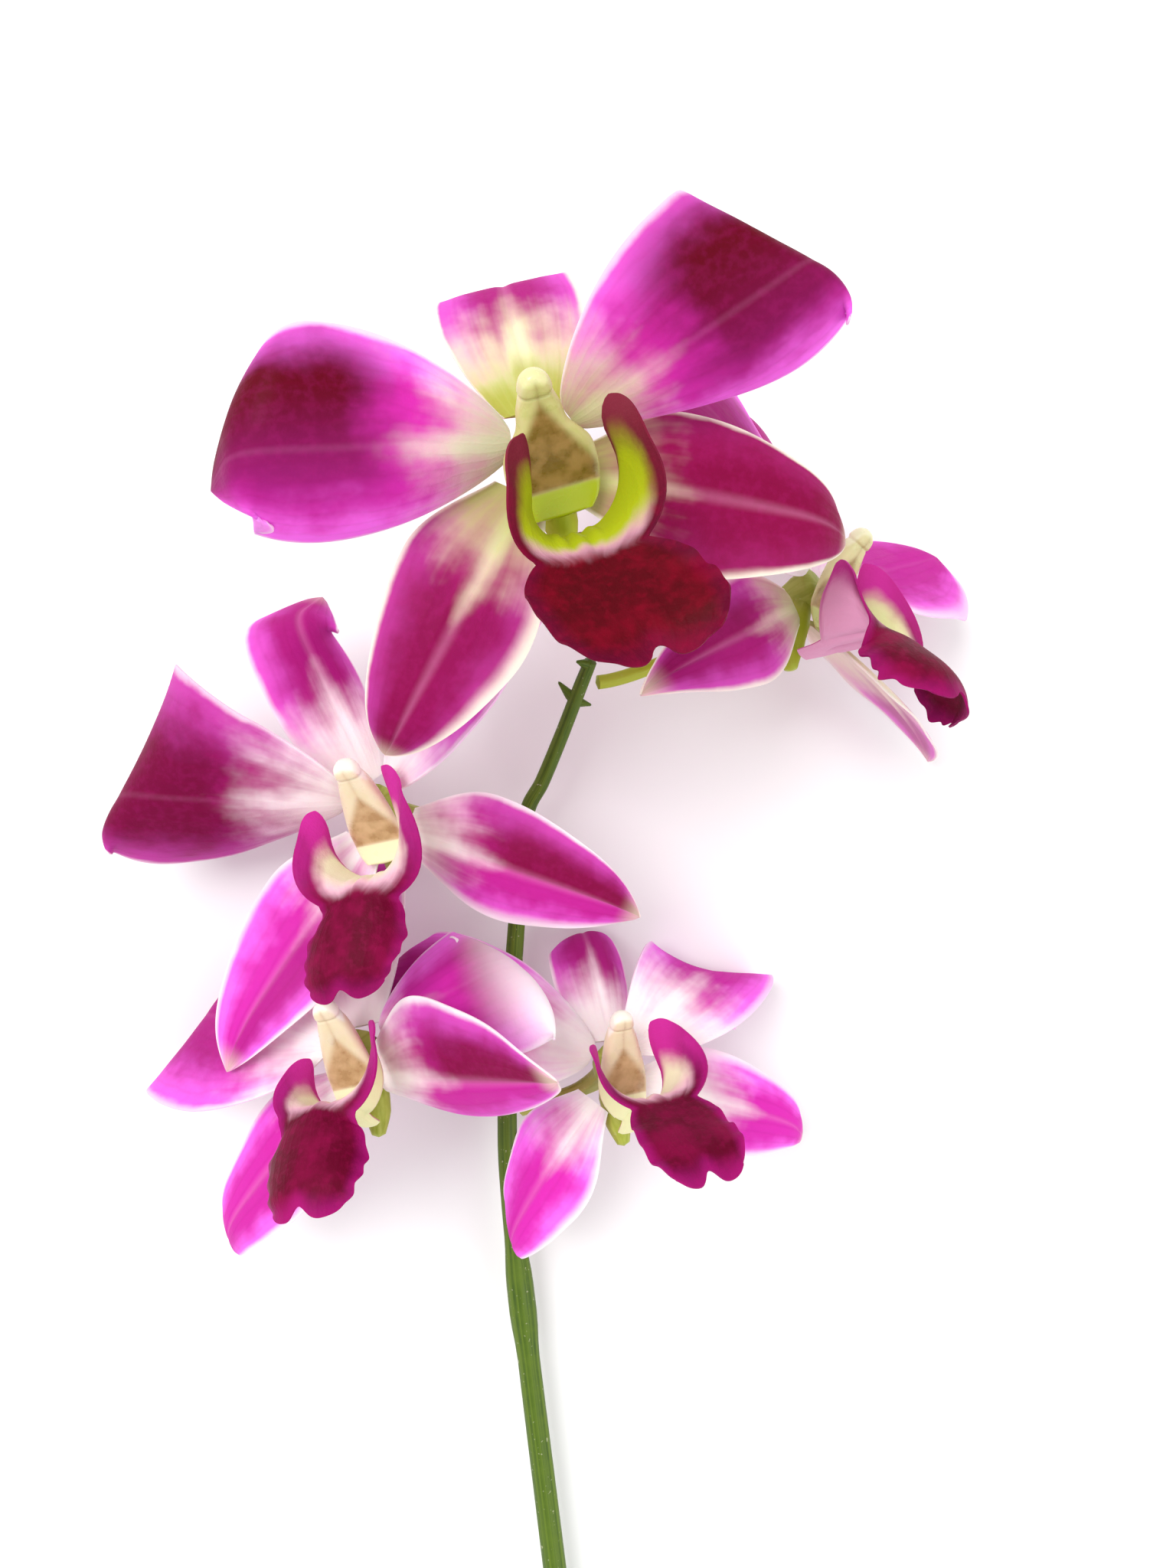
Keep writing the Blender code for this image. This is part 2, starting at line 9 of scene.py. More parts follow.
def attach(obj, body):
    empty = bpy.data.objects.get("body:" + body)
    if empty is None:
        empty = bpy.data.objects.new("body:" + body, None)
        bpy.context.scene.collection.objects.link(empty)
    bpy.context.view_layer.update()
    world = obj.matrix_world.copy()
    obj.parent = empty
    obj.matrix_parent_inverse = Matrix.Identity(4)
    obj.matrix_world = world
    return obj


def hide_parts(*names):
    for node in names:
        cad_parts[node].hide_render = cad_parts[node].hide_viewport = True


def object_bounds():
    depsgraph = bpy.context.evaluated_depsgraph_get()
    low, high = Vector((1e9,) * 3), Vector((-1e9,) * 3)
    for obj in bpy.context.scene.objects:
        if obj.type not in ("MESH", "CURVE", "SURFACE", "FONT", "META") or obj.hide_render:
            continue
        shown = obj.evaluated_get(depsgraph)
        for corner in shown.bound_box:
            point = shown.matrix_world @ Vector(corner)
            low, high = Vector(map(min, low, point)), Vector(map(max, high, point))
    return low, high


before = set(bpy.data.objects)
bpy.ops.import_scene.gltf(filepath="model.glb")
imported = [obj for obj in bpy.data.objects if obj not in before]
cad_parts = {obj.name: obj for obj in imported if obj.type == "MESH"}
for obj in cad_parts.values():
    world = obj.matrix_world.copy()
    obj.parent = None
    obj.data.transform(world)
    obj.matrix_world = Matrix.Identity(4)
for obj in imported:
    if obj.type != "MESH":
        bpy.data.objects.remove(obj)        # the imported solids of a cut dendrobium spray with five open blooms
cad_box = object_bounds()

# Lengths are in millimetres and angles in degrees until a mesh is placed in metres.
MM = 0.001

# How the spray is tipped and moved so that it rests on its lowest points.
REST_TURN = (-2.5, -5.2, 0.0)
REST_AT = (6.81, 60.42, -3.56)
REST = Euler([radians(angle) for angle in REST_TURN])
SPRAY = Matrix.Translation(Vector(REST_AT) * MM) @ REST.to_matrix().to_4x4()

# The photograph is taken from straight above the middle of the spray, in the spray's own frame.
CAMERA_HEIGHT = 212
CAMERA_ANGLE = 64


# Curves and sections

# The steps in which a bend along a petal, sepal or lip is added up.
BEND_STEPS = 400


def smooth(value, start, end):
    share = np.clip((value - start) / (end - start), 0, 1)
    return share * share * (3 - 2 * share)


def arc(angles, step):
    """Distance along and height gained by a line that points along these angles in turn."""
    along = (np.cos(angles[1:]) + np.cos(angles[:-1])) / 2
    rise = (np.sin(angles[1:]) + np.sin(angles[:-1])) / 2
    return np.append(0, np.cumsum(along)) * step, np.append(0, np.cumsum(rise)) * step


def bezier(points, count):
    """Points along one cubic curve with these four control points."""
    a, b, c, d = (Vector(point) for point in points)
    made = []
    for i in range(count + 1):
        t = i / count
        made.append((1 - t) ** 3 * a + 3 * t * (1 - t) ** 2 * b + 3 * t * t * (1 - t) * c + t ** 3 * d)
    return made


def through(points, steps):
    """Points along a smooth curve through all of these, with this many steps between neighbours."""
    points = [Vector(point) for point in points]
    ends = [2 * points[0] - points[1]] + points + [2 * points[-1] - points[-2]]
    made = []
    for a, b, c, d in zip(ends, ends[1:], ends[2:], ends[3:]):
        for i in range(steps):
            t = i / steps
            made.append(0.5 * (2 * b + (c - a) * t + (2 * a - 5 * b + 4 * c - d) * t ** 2
                               + (3 * b - a - 3 * c + d) * t ** 3))
    made.append(points[-1])
    return made


def eased(values, count):
    """Numbers along a smooth curve through these values, count of them."""
    curve = through([(value, 0, 0) for value in values], 12)
    steps = np.linspace(0, len(curve) - 1, count)
    return np.interp(steps, np.arange(len(curve)), [point.x for point in curve])


# Making pieces

def points_of(made):
    """Where the piece's points are, a row for each."""
    flat = np.empty(len(made.data.vertices) * 3)
    made.data.vertices.foreach_get("co", flat)
    return flat.reshape(-1, 3)


def new_grid(name, rows, columns):
    """A flat grid with its across and along shares, ready to be shaped."""
    bpy.ops.object.select_all(action="DESELECT")
    bpy.ops.mesh.primitive_grid_add(x_subdivisions=columns, y_subdivisions=rows, size=2)
    made = bpy.context.object
    made.name = name
    made.data.name = name
    flat = points_of(made)
    return made, flat[:, 0], (flat[:, 1] + 1) / 2


def set_points(made, points):
    made.data.vertices.foreach_set("co", np.asarray(points, float).ravel())
    made.data.update()


def set_share(made, name, values):
    """Keeps one number for each point of the piece, for its finish to read."""
    values = np.broadcast_to(np.asarray(values, float), (len(made.data.vertices),)).copy()
    kept = made.data.attributes.new(name, "FLOAT", "POINT")
    kept.data.foreach_set("value", values)


def mend(made, change):
    shape = bmesh.new()
    shape.from_mesh(made.data)
    change(shape)
    shape.to_mesh(made.data)
    shape.free()


def merge_doubles(made):
    mend(made, lambda shape: bmesh.ops.remove_doubles(shape, verts=shape.verts, dist=0.001 * MM))


def turn_outwards(made):
    mend(made, lambda shape: bmesh.ops.recalc_face_normals(shape, faces=shape.faces))


def apply_modifier(made, kind, **settings):
    bpy.ops.object.select_all(action="DESELECT")
    bpy.context.view_layer.objects.active = made
    made.select_set(True)
    added = made.modifiers.new(kind.lower(), kind)
    for key, value in settings.items():
        setattr(added, key, value)
    bpy.ops.object.modifier_apply(modifier=added.name)


def soften(made, sharp=60):
    for face in made.data.polygons:
        face.use_smooth = True
    made.data.set_sharp_from_angle(angle=radians(sharp))


def keep_within(made, box):
    """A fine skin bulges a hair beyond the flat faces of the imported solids; this keeps it in their box."""
    set_points(made, np.clip(points_of(made), np.array(box[0]), np.array(box[1])))


def finish_piece(made, place, finish, nodes):
    """Moves the piece's place into its mesh, gives it its finish and puts it in its nodes' stead."""
    made.data.transform(place)
    keep_within(made, cad_box)
    made.data.materials.clear()
    made.data.materials.append(finish)
    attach(made, "root")
    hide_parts(*nodes)
    return made


def blade(name, rows, columns, points):
    """A thin leaf with two faces: points(t, s) gives its middle surface, s across from -1 to 1."""
    made, s, t = new_grid(name, rows, columns)
    set_points(made, points(t, s) * MM)
    # It thins towards its margins and its tip.
    thin = made.vertex_groups.new(name="thickness")
    weight = 1 - smooth(np.abs(s), 0.55, 1.0)
    weight = np.minimum(weight, 1 - smooth(t, 0.86, 1.0))
    for i, value in enumerate(weight):
        thin.add([i], float(value), "REPLACE")
    return made, s, t


def thicken(made, thickness, margin, front):
    """Gives a blade its two faces and marks the one that looks away from front."""
    merge_doubles(made)
    count = len(made.data.vertices)
    apply_modifier(made, "SOLIDIFY", thickness=thickness * MM, offset=0, vertex_group="thickness",
                   thickness_vertex_group=margin / thickness)
    made.vertex_groups.clear()
    ahead = points_of(made) @ np.array(front, float)
    second = np.arange(len(ahead)) >= count
    second_behind = ahead[second].mean() < ahead[~second].mean()
    set_share(made, "behind", second if second_behind else ~second)
    soften(made)


def rolled(name, path, reach, sides, back=(0, 1, 0), width=None):
    """A closed skin round a path: reach(t, angle) gives its radius, and the angle starts at back.
    Width gives its radius across where that is another."""
    path = [Vector(point) for point in path]
    made, across, t = new_grid(name, len(path) - 1, sides)
    angle = (across + 1) * pi
    rows = np.rint(t * (len(path) - 1)).astype(int)
    frames = []
    back = Vector(back)
    for i in range(len(path)):
        ahead = (path[min(i + 1, len(path) - 1)] - path[max(i - 1, 0)]).normalized()
        back = (back - back.dot(ahead) * ahead).normalized()
        frames.append((path[i], back.copy(), ahead.cross(back)))
    centre = np.array([one[0] for one in frames])[rows]
    behind = np.array([one[1] for one in frames])[rows]
    beside = np.array([one[2] for one in frames])[rows]
    # The end rows close on the path.
    open_row = (rows > 0) & (rows < len(path) - 1)
    deep = reach(t, angle) * open_row
    wide = deep if width is None else width(t, angle) * open_row
    points = centre + (deep * np.cos(angle))[:, None] * behind + (wide * np.sin(angle))[:, None] * beside
    set_points(made, points * MM)
    merge_doubles(made)
    turn_outwards(made)
    return made


# Wiring of finishes

def feed(tree, socket, value):
    """Sets a socket to a number or colour, or wires it to another socket."""
    if isinstance(value, bpy.types.NodeSocket):
        tree.links.new(value, socket)
    elif socket.type == "RGBA":
        socket.default_value = (*value, 1.0)
    else:
        socket.default_value = value


def maths(tree, operation, first, second=0.0, third=0.0):
    made = tree.nodes.new("ShaderNodeMath")
    made.operation = operation
    for socket, value in zip(made.inputs, (first, second, third)):
        feed(tree, socket, value)
    return made.outputs[0]


def times(tree, first, second):
    return maths(tree, "MULTIPLY", first, second)


def rises(tree, value, start, end, low=0.0, high=1.0):
    """Goes smoothly from low to high while the value goes from start to end."""
    made = tree.nodes.new("ShaderNodeMapRange")
    made.interpolation_type = "SMOOTHSTEP"
    feed(tree, made.inputs["Value"], value)
    feed(tree, made.inputs["From Min"], start)
    feed(tree, made.inputs["From Max"], end)
    feed(tree, made.inputs["To Min"], low)
    feed(tree, made.inputs["To Max"], high)
    return made.outputs["Result"]


def mixed(tree, share, low, high):
    made = tree.nodes.new("ShaderNodeMix")
    made.data_type = "RGBA"
    feed(tree, made.inputs[0], share)
    feed(tree, made.inputs[6], low)
    feed(tree, made.inputs[7], high)
    return made.outputs[2]


def noise(tree, vector, scale, detail=2.0, roughness=0.5):
    made = tree.nodes.new("ShaderNodeTexNoise")
    feed(tree, made.inputs["Vector"], vector)
    made.inputs["Scale"].default_value = scale
    made.inputs["Detail"].default_value = detail
    made.inputs["Roughness"].default_value = roughness
    return made.outputs["Fac"]


def object_place(tree):
    return tree.nodes.new("ShaderNodeTexCoord").outputs["Object"]


def share_of(tree, name):
    """A number kept with each point of the piece."""
    made = tree.nodes.new("ShaderNodeAttribute")
    made.attribute_name = name
    return made.outputs["Fac"]


def across_and_along(tree):
    """From -1 to 1 across the blade and from 0 to 1 along it, as its own map keeps them."""
    uv = tree.nodes.new("ShaderNodeUVMap")
    parts = tree.nodes.new("ShaderNodeSeparateXYZ")
    tree.links.new(uv.outputs["UV"], parts.inputs[0])
    across = maths(tree, "MULTIPLY_ADD", parts.outputs["X"], 2.0, -1.0)
    return across, parts.outputs["Y"]


def vector_of(tree, x, y, z):
    made = tree.nodes.new("ShaderNodeCombineXYZ")
    for socket, value in zip(made.inputs, (x, y, z)):
        feed(tree, socket, value)
    return made.outputs[0]


def new_group(name, inputs, outputs):
    group = bpy.data.node_groups.new(name, "ShaderNodeTree")
    for label, value in inputs:
        made = group.interface.new_socket(name=label, in_out="INPUT", socket_type="NodeSocketFloat")
        made.default_value = value
    for label in outputs:
        group.interface.new_socket(name=label, in_out="OUTPUT", socket_type="NodeSocketFloat")
    return group, group.nodes.new("NodeGroupInput").outputs, group.nodes.new("NodeGroupOutput").inputs


def place_group(tree, group, **values):
    made = tree.nodes.new("ShaderNodeGroup")
    made.node_tree = group
    for label, value in values.items():
        feed(tree, made.inputs[label.replace("_", " ")], value)
    return made.outputs


def flesh_group():
    """What every petal, sepal and lip shares: streaks along it, veins, mottling and fine cells."""
    inputs = (("Veins", 9.0), ("Wander", 1.2))
    outputs = ("Streaks", "Veins", "Mottle", "Blotches", "Cells")
    group, given, made = new_group("flower_flesh", inputs, outputs)
    across, along = across_and_along(group)
    place = object_place(group)
    parts = group.nodes.new("ShaderNodeSeparateXYZ")
    group.links.new(place, parts.inputs[0])
    drift = times(group, parts.outputs["X"], 60.0)
    lines = noise(group, vector_of(group, times(group, across, 5.0),
                                   times(group, along, 1.2), drift), 1.3, 2.5, 0.5)
    mottle = noise(group, place, 190.0, 3.0, 0.5)
    # Soft blotches break up the streaks.
    streaks = maths(group, "MULTIPLY_ADD", lines, 0.38, times(group, mottle, 0.62))
    wander = noise(group, vector_of(group, times(group, across, 2.0),
                                    times(group, along, 4.0), drift), 1.2, 2.0)
    phase = times(group, across, given["Veins"])
    bend = times(group, wander, given["Wander"])
    wave = maths(group, "COSINE", times(group, maths(group, "ADD", phase, bend), 2 * pi))
    veins = maths(group, "POWER", maths(group, "MULTIPLY_ADD", wave, 0.5, 0.5), 5.0)
    feed(group, made["Streaks"], streaks)
    feed(group, made["Veins"], veins)
    feed(group, made["Mottle"], mottle)
    feed(group, made["Blotches"], noise(group, place, 850.0, 3.0, 0.55))
    feed(group, made["Cells"], noise(group, place, 2400.0, 2.0, 0.6))
    return group


def zone_group():
    """Where a petal or sepal is pale, deep, ribbed and edged."""
    inputs = (("Pale", 0.2), ("Rib Reach", 0.12), ("Deep From", 0.36), ("Deep Full", 0.62),
              ("Deep Side", 0.72), ("Margin", 0.1), ("Rib Width", 0.06), ("Streaks", 0.5))
    group, given, made = new_group("blade_zones", inputs, ("Pale", "Deep", "Margin", "Rib", "Tip"))
    across, along = across_and_along(group)
    aside = maths(group, "ABSOLUTE", across)
    loose = maths(group, "SUBTRACT", given["Streaks"], 0.5)
    near_rib = rises(group, aside, 0.0, 0.30, 1.0, 0.0)
    reach = maths(group, "ADD", given["Pale"], times(group, near_rib, given["Rib Reach"]))
    shifted = maths(group, "MULTIPLY_ADD", loose, -0.45, along)
    start = maths(group, "SUBTRACT", reach, 0.20)
    end = maths(group, "ADD", reach, 0.20)
    feed(group, made["Pale"], rises(group, shifted, start, end, 1.0, 0.0))
    shifted = maths(group, "MULTIPLY_ADD", loose, 0.30, along)
    lengthwise = rises(group, shifted, given["Deep From"], given["Deep Full"])
    side = maths(group, "MULTIPLY_ADD", loose, 0.5, aside)
    outer = maths(group, "ADD", given["Deep Side"], 0.34)
    sideways = rises(group, side, maths(group, "SUBTRACT", given["Deep Side"], 0.34), outer, 1.0, 0.0)
    feed(group, made["Deep"], times(group, lengthwise, sideways))
    inner = maths(group, "SUBTRACT", 1.0, given["Margin"])
    edge = maths(group, "MULTIPLY_ADD", loose, 0.16, aside)
    feed(group, made["Margin"], rises(group, edge, inner, 1.0))
    feed(group, made["Rib"], rises(group, aside, 0.0, given["Rib Width"], 1.0, 0.0))
    feed(group, made["Tip"], rises(group, along, 0.86, 1.0))
    return group


def new_finish(name):
    made = bpy.data.materials.new(name)
    made.use_nodes = True
    shader = made.node_tree.nodes["Principled BSDF"]
    return made, made.node_tree, shader


def bumped(tree, shader, height, depth, strength=1.0):
    bump = tree.nodes.new("ShaderNodeBump")
    bump.inputs["Strength"].default_value = strength
    bump.inputs["Distance"].default_value = depth * MM
    feed(tree, bump.inputs["Height"], height)
    tree.links.new(bump.outputs["Normal"], shader.inputs["Normal"])


def soft_flesh(shader, weight=0.25):
    """Light goes a little way into the petal and comes out again."""
    shader.inputs["Subsurface Weight"].default_value = weight
    shader.inputs["Subsurface Radius"].default_value = (1.0, 0.35, 0.6)
    shader.inputs["Subsurface Scale"].default_value = 0.8 * MM
    shader.inputs["Specular IOR Level"].default_value = 0.07


# Colours of the blooms, as light they send back

VIVID = (0.68, 0.028, 0.44)
DULL = (0.25, 0.002, 0.05)
DEEP = (0.115, 0.0, 0.009)
# Partly the blooms' own magenta and partly painted glow, as if light shone through their thin outer blades.
LIVELY_AND_GLOW = (0.94, 0.16, 0.86)
BLUSH_WHITE = (0.98, 0.88, 0.92)
CREAM = (0.86, 0.82, 0.52)
LIME = (0.44, 0.46, 0.08)
TIP_CREAM = (0.90, 0.78, 0.60)
PETAL_RIB = (0.98, 0.40, 0.72)
SEPAL_DEEP = (0.19, 0.001, 0.035)
SEPAL_RIB = (0.90, 0.36, 0.62)
SEPAL_EDGE = (0.92, 0.88, 0.70)
MOTTLE = (0.72, 0.03, 0.34)
DARK_VEIN = (0.25, 0.0, 0.06)
CREAM_VEIN = (0.62, 0.62, 0.22)
PALE_BACK = (0.95, 0.50, 0.78)


def pale_base(tree, flesh):
    """The white or cream of the claw, limy right beside the column where it is cream."""
    along = across_and_along(tree)[1]
    loose = maths(tree, "MULTIPLY_ADD", flesh["Streaks"], -0.3, along)
    cream = mixed(tree, rises(tree, loose, -0.12, 0.14), LIME, CREAM)
    cream = mixed(tree, times(tree, flesh["Veins"], 0.12), cream, CREAM_VEIN)
    return mixed(tree, share_of(tree, "cream"), BLUSH_WHITE, cream)


def live_colour(tree, flesh, zones, deepest):
    """Magenta, brighter towards the thin outer blade as painted glow, the deep middle with painted shade on a
    half that curls away, and faint darker veins.
    """
    colour = mixed(tree, share_of(tree, "bright"), DULL, VIVID)
    across = across_and_along(tree)[0]
    # Painted glow: the outer part of the blade is brightened, as if light shone through it.
    outer = maths(tree, "MULTIPLY_ADD", flesh["Mottle"], 0.9, maths(tree, "ABSOLUTE", across))
    lively_and_glow = times(tree, rises(tree, outer, 0.75, 1.35), share_of(tree, "bright"))
    colour = mixed(tree, lively_and_glow, colour, LIVELY_AND_GLOW)
    # The deep middle is the blade's own colour; on a half that curls away it also holds painted shade.
    deep = times(tree, zones["Deep"], share_of(tree, "deep"))
    colour = mixed(tree, deep, colour, deepest)
    colour = mixed(tree, rises(tree, flesh["Blotches"], 0.40, 0.70, 0.0, 0.06), colour, MOTTLE)
    return mixed(tree, times(tree, flesh["Veins"], 0.08), colour, DARK_VEIN)


def behind(tree, colour):
    """The back of a blade is paler than its face."""
    return mixed(tree, times(tree, share_of(tree, "behind"), 0.30), colour, PALE_BACK)


def petal_colour(tree, flesh, zones):
    colour = live_colour(tree, flesh, zones, DEEP)
    colour = mixed(tree, times(tree, zones["Rib"], 0.04), colour, PETAL_RIB)
    colour = mixed(tree, zones["Pale"], colour, pale_base(tree, flesh))
    along = across_and_along(tree)[1]
    blanched = times(tree, rises(tree, along, 0.34, 0.72), share_of(tree, "tip"))
    colour = mixed(tree, blanched, colour, BLUSH_WHITE)
    return behind(tree, mixed(tree, times(tree, zones["Margin"], 0.6), colour, BLUSH_WHITE))


def blade_surface(tree, shader, flesh):
    """The satin of a living petal, with raised veins and fine cells."""
    feed(tree, shader.inputs["Roughness"], rises(tree, flesh["Mottle"], 0.25, 0.75, 0.48, 0.66))
    height = maths(tree, "MULTIPLY_ADD", flesh["Veins"], 0.2, times(tree, flesh["Cells"], 0.4))
    height = maths(tree, "MULTIPLY_ADD", flesh["Streaks"], 0.8, height)
    bumped(tree, shader, height, 0.14, 0.7)


def sepal_colour(tree, flesh, zones):
    colour = live_colour(tree, flesh, zones, SEPAL_DEEP)
    colour = mixed(tree, times(tree, zones["Rib"], 0.17), colour, SEPAL_RIB)
    colour = mixed(tree, zones["Pale"], colour, pale_base(tree, flesh))
    edge = mixed(tree, share_of(tree, "cream"), BLUSH_WHITE, SEPAL_EDGE)
    colour = mixed(tree, times(tree, zones["Margin"], 0.85), colour, edge)
    tip = times(tree, zones["Tip"], share_of(tree, "tip"))
    return behind(tree, mixed(tree, tip, colour, TIP_CREAM))


def tepal_finish(name, colour_of, flesh_sizes, zone_sizes):
    """What petals and sepals share, with the colours that colour_of gives."""
    made, tree, shader = new_finish(name)
    flesh = place_group(tree, GROUP["flesh"], **flesh_sizes)
    zones = place_group(tree, GROUP["zones"], Pale=share_of(tree, "pale"), Deep_Side=share_of(tree, "spread"),
                        Margin=share_of(tree, "margin"), Streaks=flesh["Streaks"], **zone_sizes)
    feed(tree, shader.inputs["Base Color"], colour_of(tree, flesh, zones))
    blade_surface(tree, shader, flesh)
    soft_flesh(shader)
    return made


def petal_finish():
    return tepal_finish("petal_magenta_velvet", petal_colour, dict(Veins=7.0, Wander=1.4),
                        dict(Rib_Reach=0.10, Deep_From=0.24, Deep_Full=0.50, Rib_Width=0.05))


def sepal_finish():
    return tepal_finish("sepal_magenta_satin", sepal_colour, dict(Veins=4.5, Wander=0.7),
                        dict(Rib_Reach=0.14, Deep_From=0.22, Deep_Full=0.46, Rib_Width=0.14))


# Each pair is for a dull lip and for a bright one.
LIP_DARK = ((0.085, 0.0, 0.004), (0.12, 0.0, 0.020))
LIP_LIGHT = ((0.22, 0.0, 0.014), (0.28, 0.003, 0.07))
LIP_LOBES = ((0.20, 0.02, 0.04), (0.66, 0.03, 0.38))
LIP_RIM = (0.50, 0.01, 0.24)
LIP_VEIN = (0.07, 0.0, 0.006)
LIP_PINK = (0.80, 0.34, 0.60)
# Each pair is for a throat without green and for a limy one.
THROAT = ((0.98, 0.94, 0.72), (0.40, 0.46, 0.01))
THROAT_END = ((0.90, 0.55, 0.66), (0.70, 0.36, 0.46))
LOBES_OUTSIDE = ((0.88, 0.84, 0.50), (0.60, 0.64, 0.14))


def lip_front(tree, flesh, aside, along):
    """Burgundy, with a lighter magenta rim round the front lobe and the upper side lobes."""
    bright = share_of(tree, "bright")
    colour = mixed(tree, bright, *LIP_DARK)
    lighter = mixed(tree, bright, *LIP_LIGHT)
    colour = mixed(tree, rises(tree, flesh["Mottle"], 0.40, 0.68, 0.0, 0.6), colour, lighter)
    colour = mixed(tree, rises(tree, flesh["Blotches"], 0.45, 0.70, 0.0, 0.35), colour, lighter)
    colour = mixed(tree, times(tree, flesh["Veins"], 0.05), colour, LIP_VEIN)
    rim = times(tree, rises(tree, aside, 0.72, 1.0), share_of(tree, "rim"))
    end = times(tree, rises(tree, along, 0.88, 1.0), share_of(tree, "rim"))
    return mixed(tree, times(tree, maths(tree, "MAXIMUM", rim, end), 0.7), colour, LIP_RIM)


def lip_throat(tree, colour, aside, shifted, loose):
    """The pale throat reaches the side lobes' foot and ends at a blush line before the front lobe."""
    deepest = maths(tree, "MULTIPLY_ADD", loose, 0.34, aside)
    deepest = maths(tree, "MULTIPLY_ADD", share_of(tree, "green"), -0.16, deepest)
    side = rises(tree, deepest, 0.46, 0.74, 1.0, 0.0)
    throat = times(tree, side, rises(tree, shifted, 0.43, 0.52, 1.0, 0.0))
    blush = mixed(tree, rises(tree, shifted, 0.36, 0.46), THROAT[0], THROAT_END[0])
    green = mixed(tree, rises(tree, shifted, 0.40, 0.47), THROAT[1], THROAT_END[1])
    pale = mixed(tree, share_of(tree, "green"), blush, green)
    inside = maths(tree, "SUBTRACT", 1.0, share_of(tree, "behind"))
    return mixed(tree, times(tree, throat, inside), colour, pale)


def lip_outside(tree, colour, aside, along, shifted, loose):
    """Outside, the side lobes are cream low down and take the magenta of the rim only near it."""
    low = rises(tree, maths(tree, "MULTIPLY_ADD", loose, 0.3, aside), 0.62, 0.95, 1.0, 0.0)
    low = maths(tree, "MAXIMUM", low, rises(tree, along, 0.15, 0.25, 1.0, 0.0))
    outside = times(tree, low, rises(tree, shifted, 0.40, 0.56, 1.0, 0.0))
    outside = times(tree, outside, share_of(tree, "behind"))
    cream = mixed(tree, share_of(tree, "green"), *LOBES_OUTSIDE)
    cream = mixed(tree, share_of(tree, "pink_side"), cream, LIP_PINK)
    return mixed(tree, outside, colour, cream)


def lip_finish():
    """Deep burgundy in front, magenta along the side lobes, cream or green down in the throat."""
    made, tree, shader = new_finish("lip_burgundy_velvet")
    flesh = place_group(tree, GROUP["flesh"], Veins=6.0, Wander=1.0)
    across, along = across_and_along(tree)
    aside = maths(tree, "ABSOLUTE", across)
    loose = maths(tree, "SUBTRACT", flesh["Streaks"], 0.5)
    shifted = maths(tree, "MULTIPLY_ADD", loose, 0.12, along)
    colour = lip_front(tree, flesh, aside, along)
    lobes = rises(tree, shifted, 0.30, 0.50, 1.0, 0.0)
    colour = mixed(tree, lobes, colour, mixed(tree, share_of(tree, "bright"), *LIP_LOBES))
    colour = lip_throat(tree, colour, aside, shifted, loose)
    colour = lip_outside(tree, colour, aside, along, shifted, loose)
    feed(tree, shader.inputs["Base Color"], colour)
    feed(tree, shader.inputs["Roughness"], rises(tree, flesh["Mottle"], 0.25, 0.75, 0.46, 0.64))
    height = maths(tree, "MULTIPLY_ADD", flesh["Veins"], 0.15, times(tree, flesh["Cells"], 0.5))
    bumped(tree, shader, height, 0.16, 0.8)
    soft_flesh(shader, 0.12)
    return made


# Each pair is for a cream column and for a limy one.
COLUMN_SKIN = ((0.88, 0.76, 0.60), (0.58, 0.56, 0.20))
COLUMN_FOOT = ((0.98, 0.94, 0.70), (0.40, 0.47, 0.01))
COLUMN_CAP = ((0.98, 0.93, 0.86), (0.70, 0.68, 0.34))
# Painted shade: the tan, dark and light, that darkens the column's underside over the throat.
SHADED_UNDERSIDE_DARK = ((0.50, 0.30, 0.15), (0.19, 0.11, 0.015))
SHADED_UNDERSIDE_LIGHT = ((0.70, 0.48, 0.28), (0.36, 0.21, 0.06))
COLUMN_MOTTLE = (0.78, 0.66, 0.36)


def column_finish():
    made, tree, shader = new_finish("column_cream_wax")
    place = object_place(tree)
    mottle = noise(tree, place, 520.0, 3.0)
    green = share_of(tree, "green")
    colour = mixed(tree, green, *COLUMN_SKIN)
    colour = mixed(tree, rises(tree, mottle, 0.35, 0.7, 0.0, 0.3), colour, COLUMN_MOTTLE)
    colour = mixed(tree, share_of(tree, "foot"), colour, mixed(tree, green, *COLUMN_FOOT))
    # Painted shade: the underside over the throat is darkened to a mottled tan.
    dark = mixed(tree, green, *SHADED_UNDERSIDE_DARK)
    light = mixed(tree, green, *SHADED_UNDERSIDE_LIGHT)
    shaded_underside = mixed(tree, rises(tree, mottle, 0.3, 0.7), dark, light)
    colour = mixed(tree, share_of(tree, "shaded_underside"), colour, shaded_underside)
    colour = mixed(tree, share_of(tree, "cap"), colour, mixed(tree, green, *COLUMN_CAP))
    feed(tree, shader.inputs["Base Color"], colour)
    feed(tree, shader.inputs["Roughness"], rises(tree, mottle, 0.3, 0.7, 0.24, 0.40))
    bumped(tree, shader, noise(tree, place, 2400.0, 2.0), 0.05, 0.5)
    soft_flesh(shader, 0.25)
    shader.inputs["Specular IOR Level"].default_value = 0.5
    return made


SCAR = (0.62, 0.60, 0.40)
DRIED = (0.46, 0.36, 0.20)
LIMY_SKIN = (0.42, 0.50, 0.02)


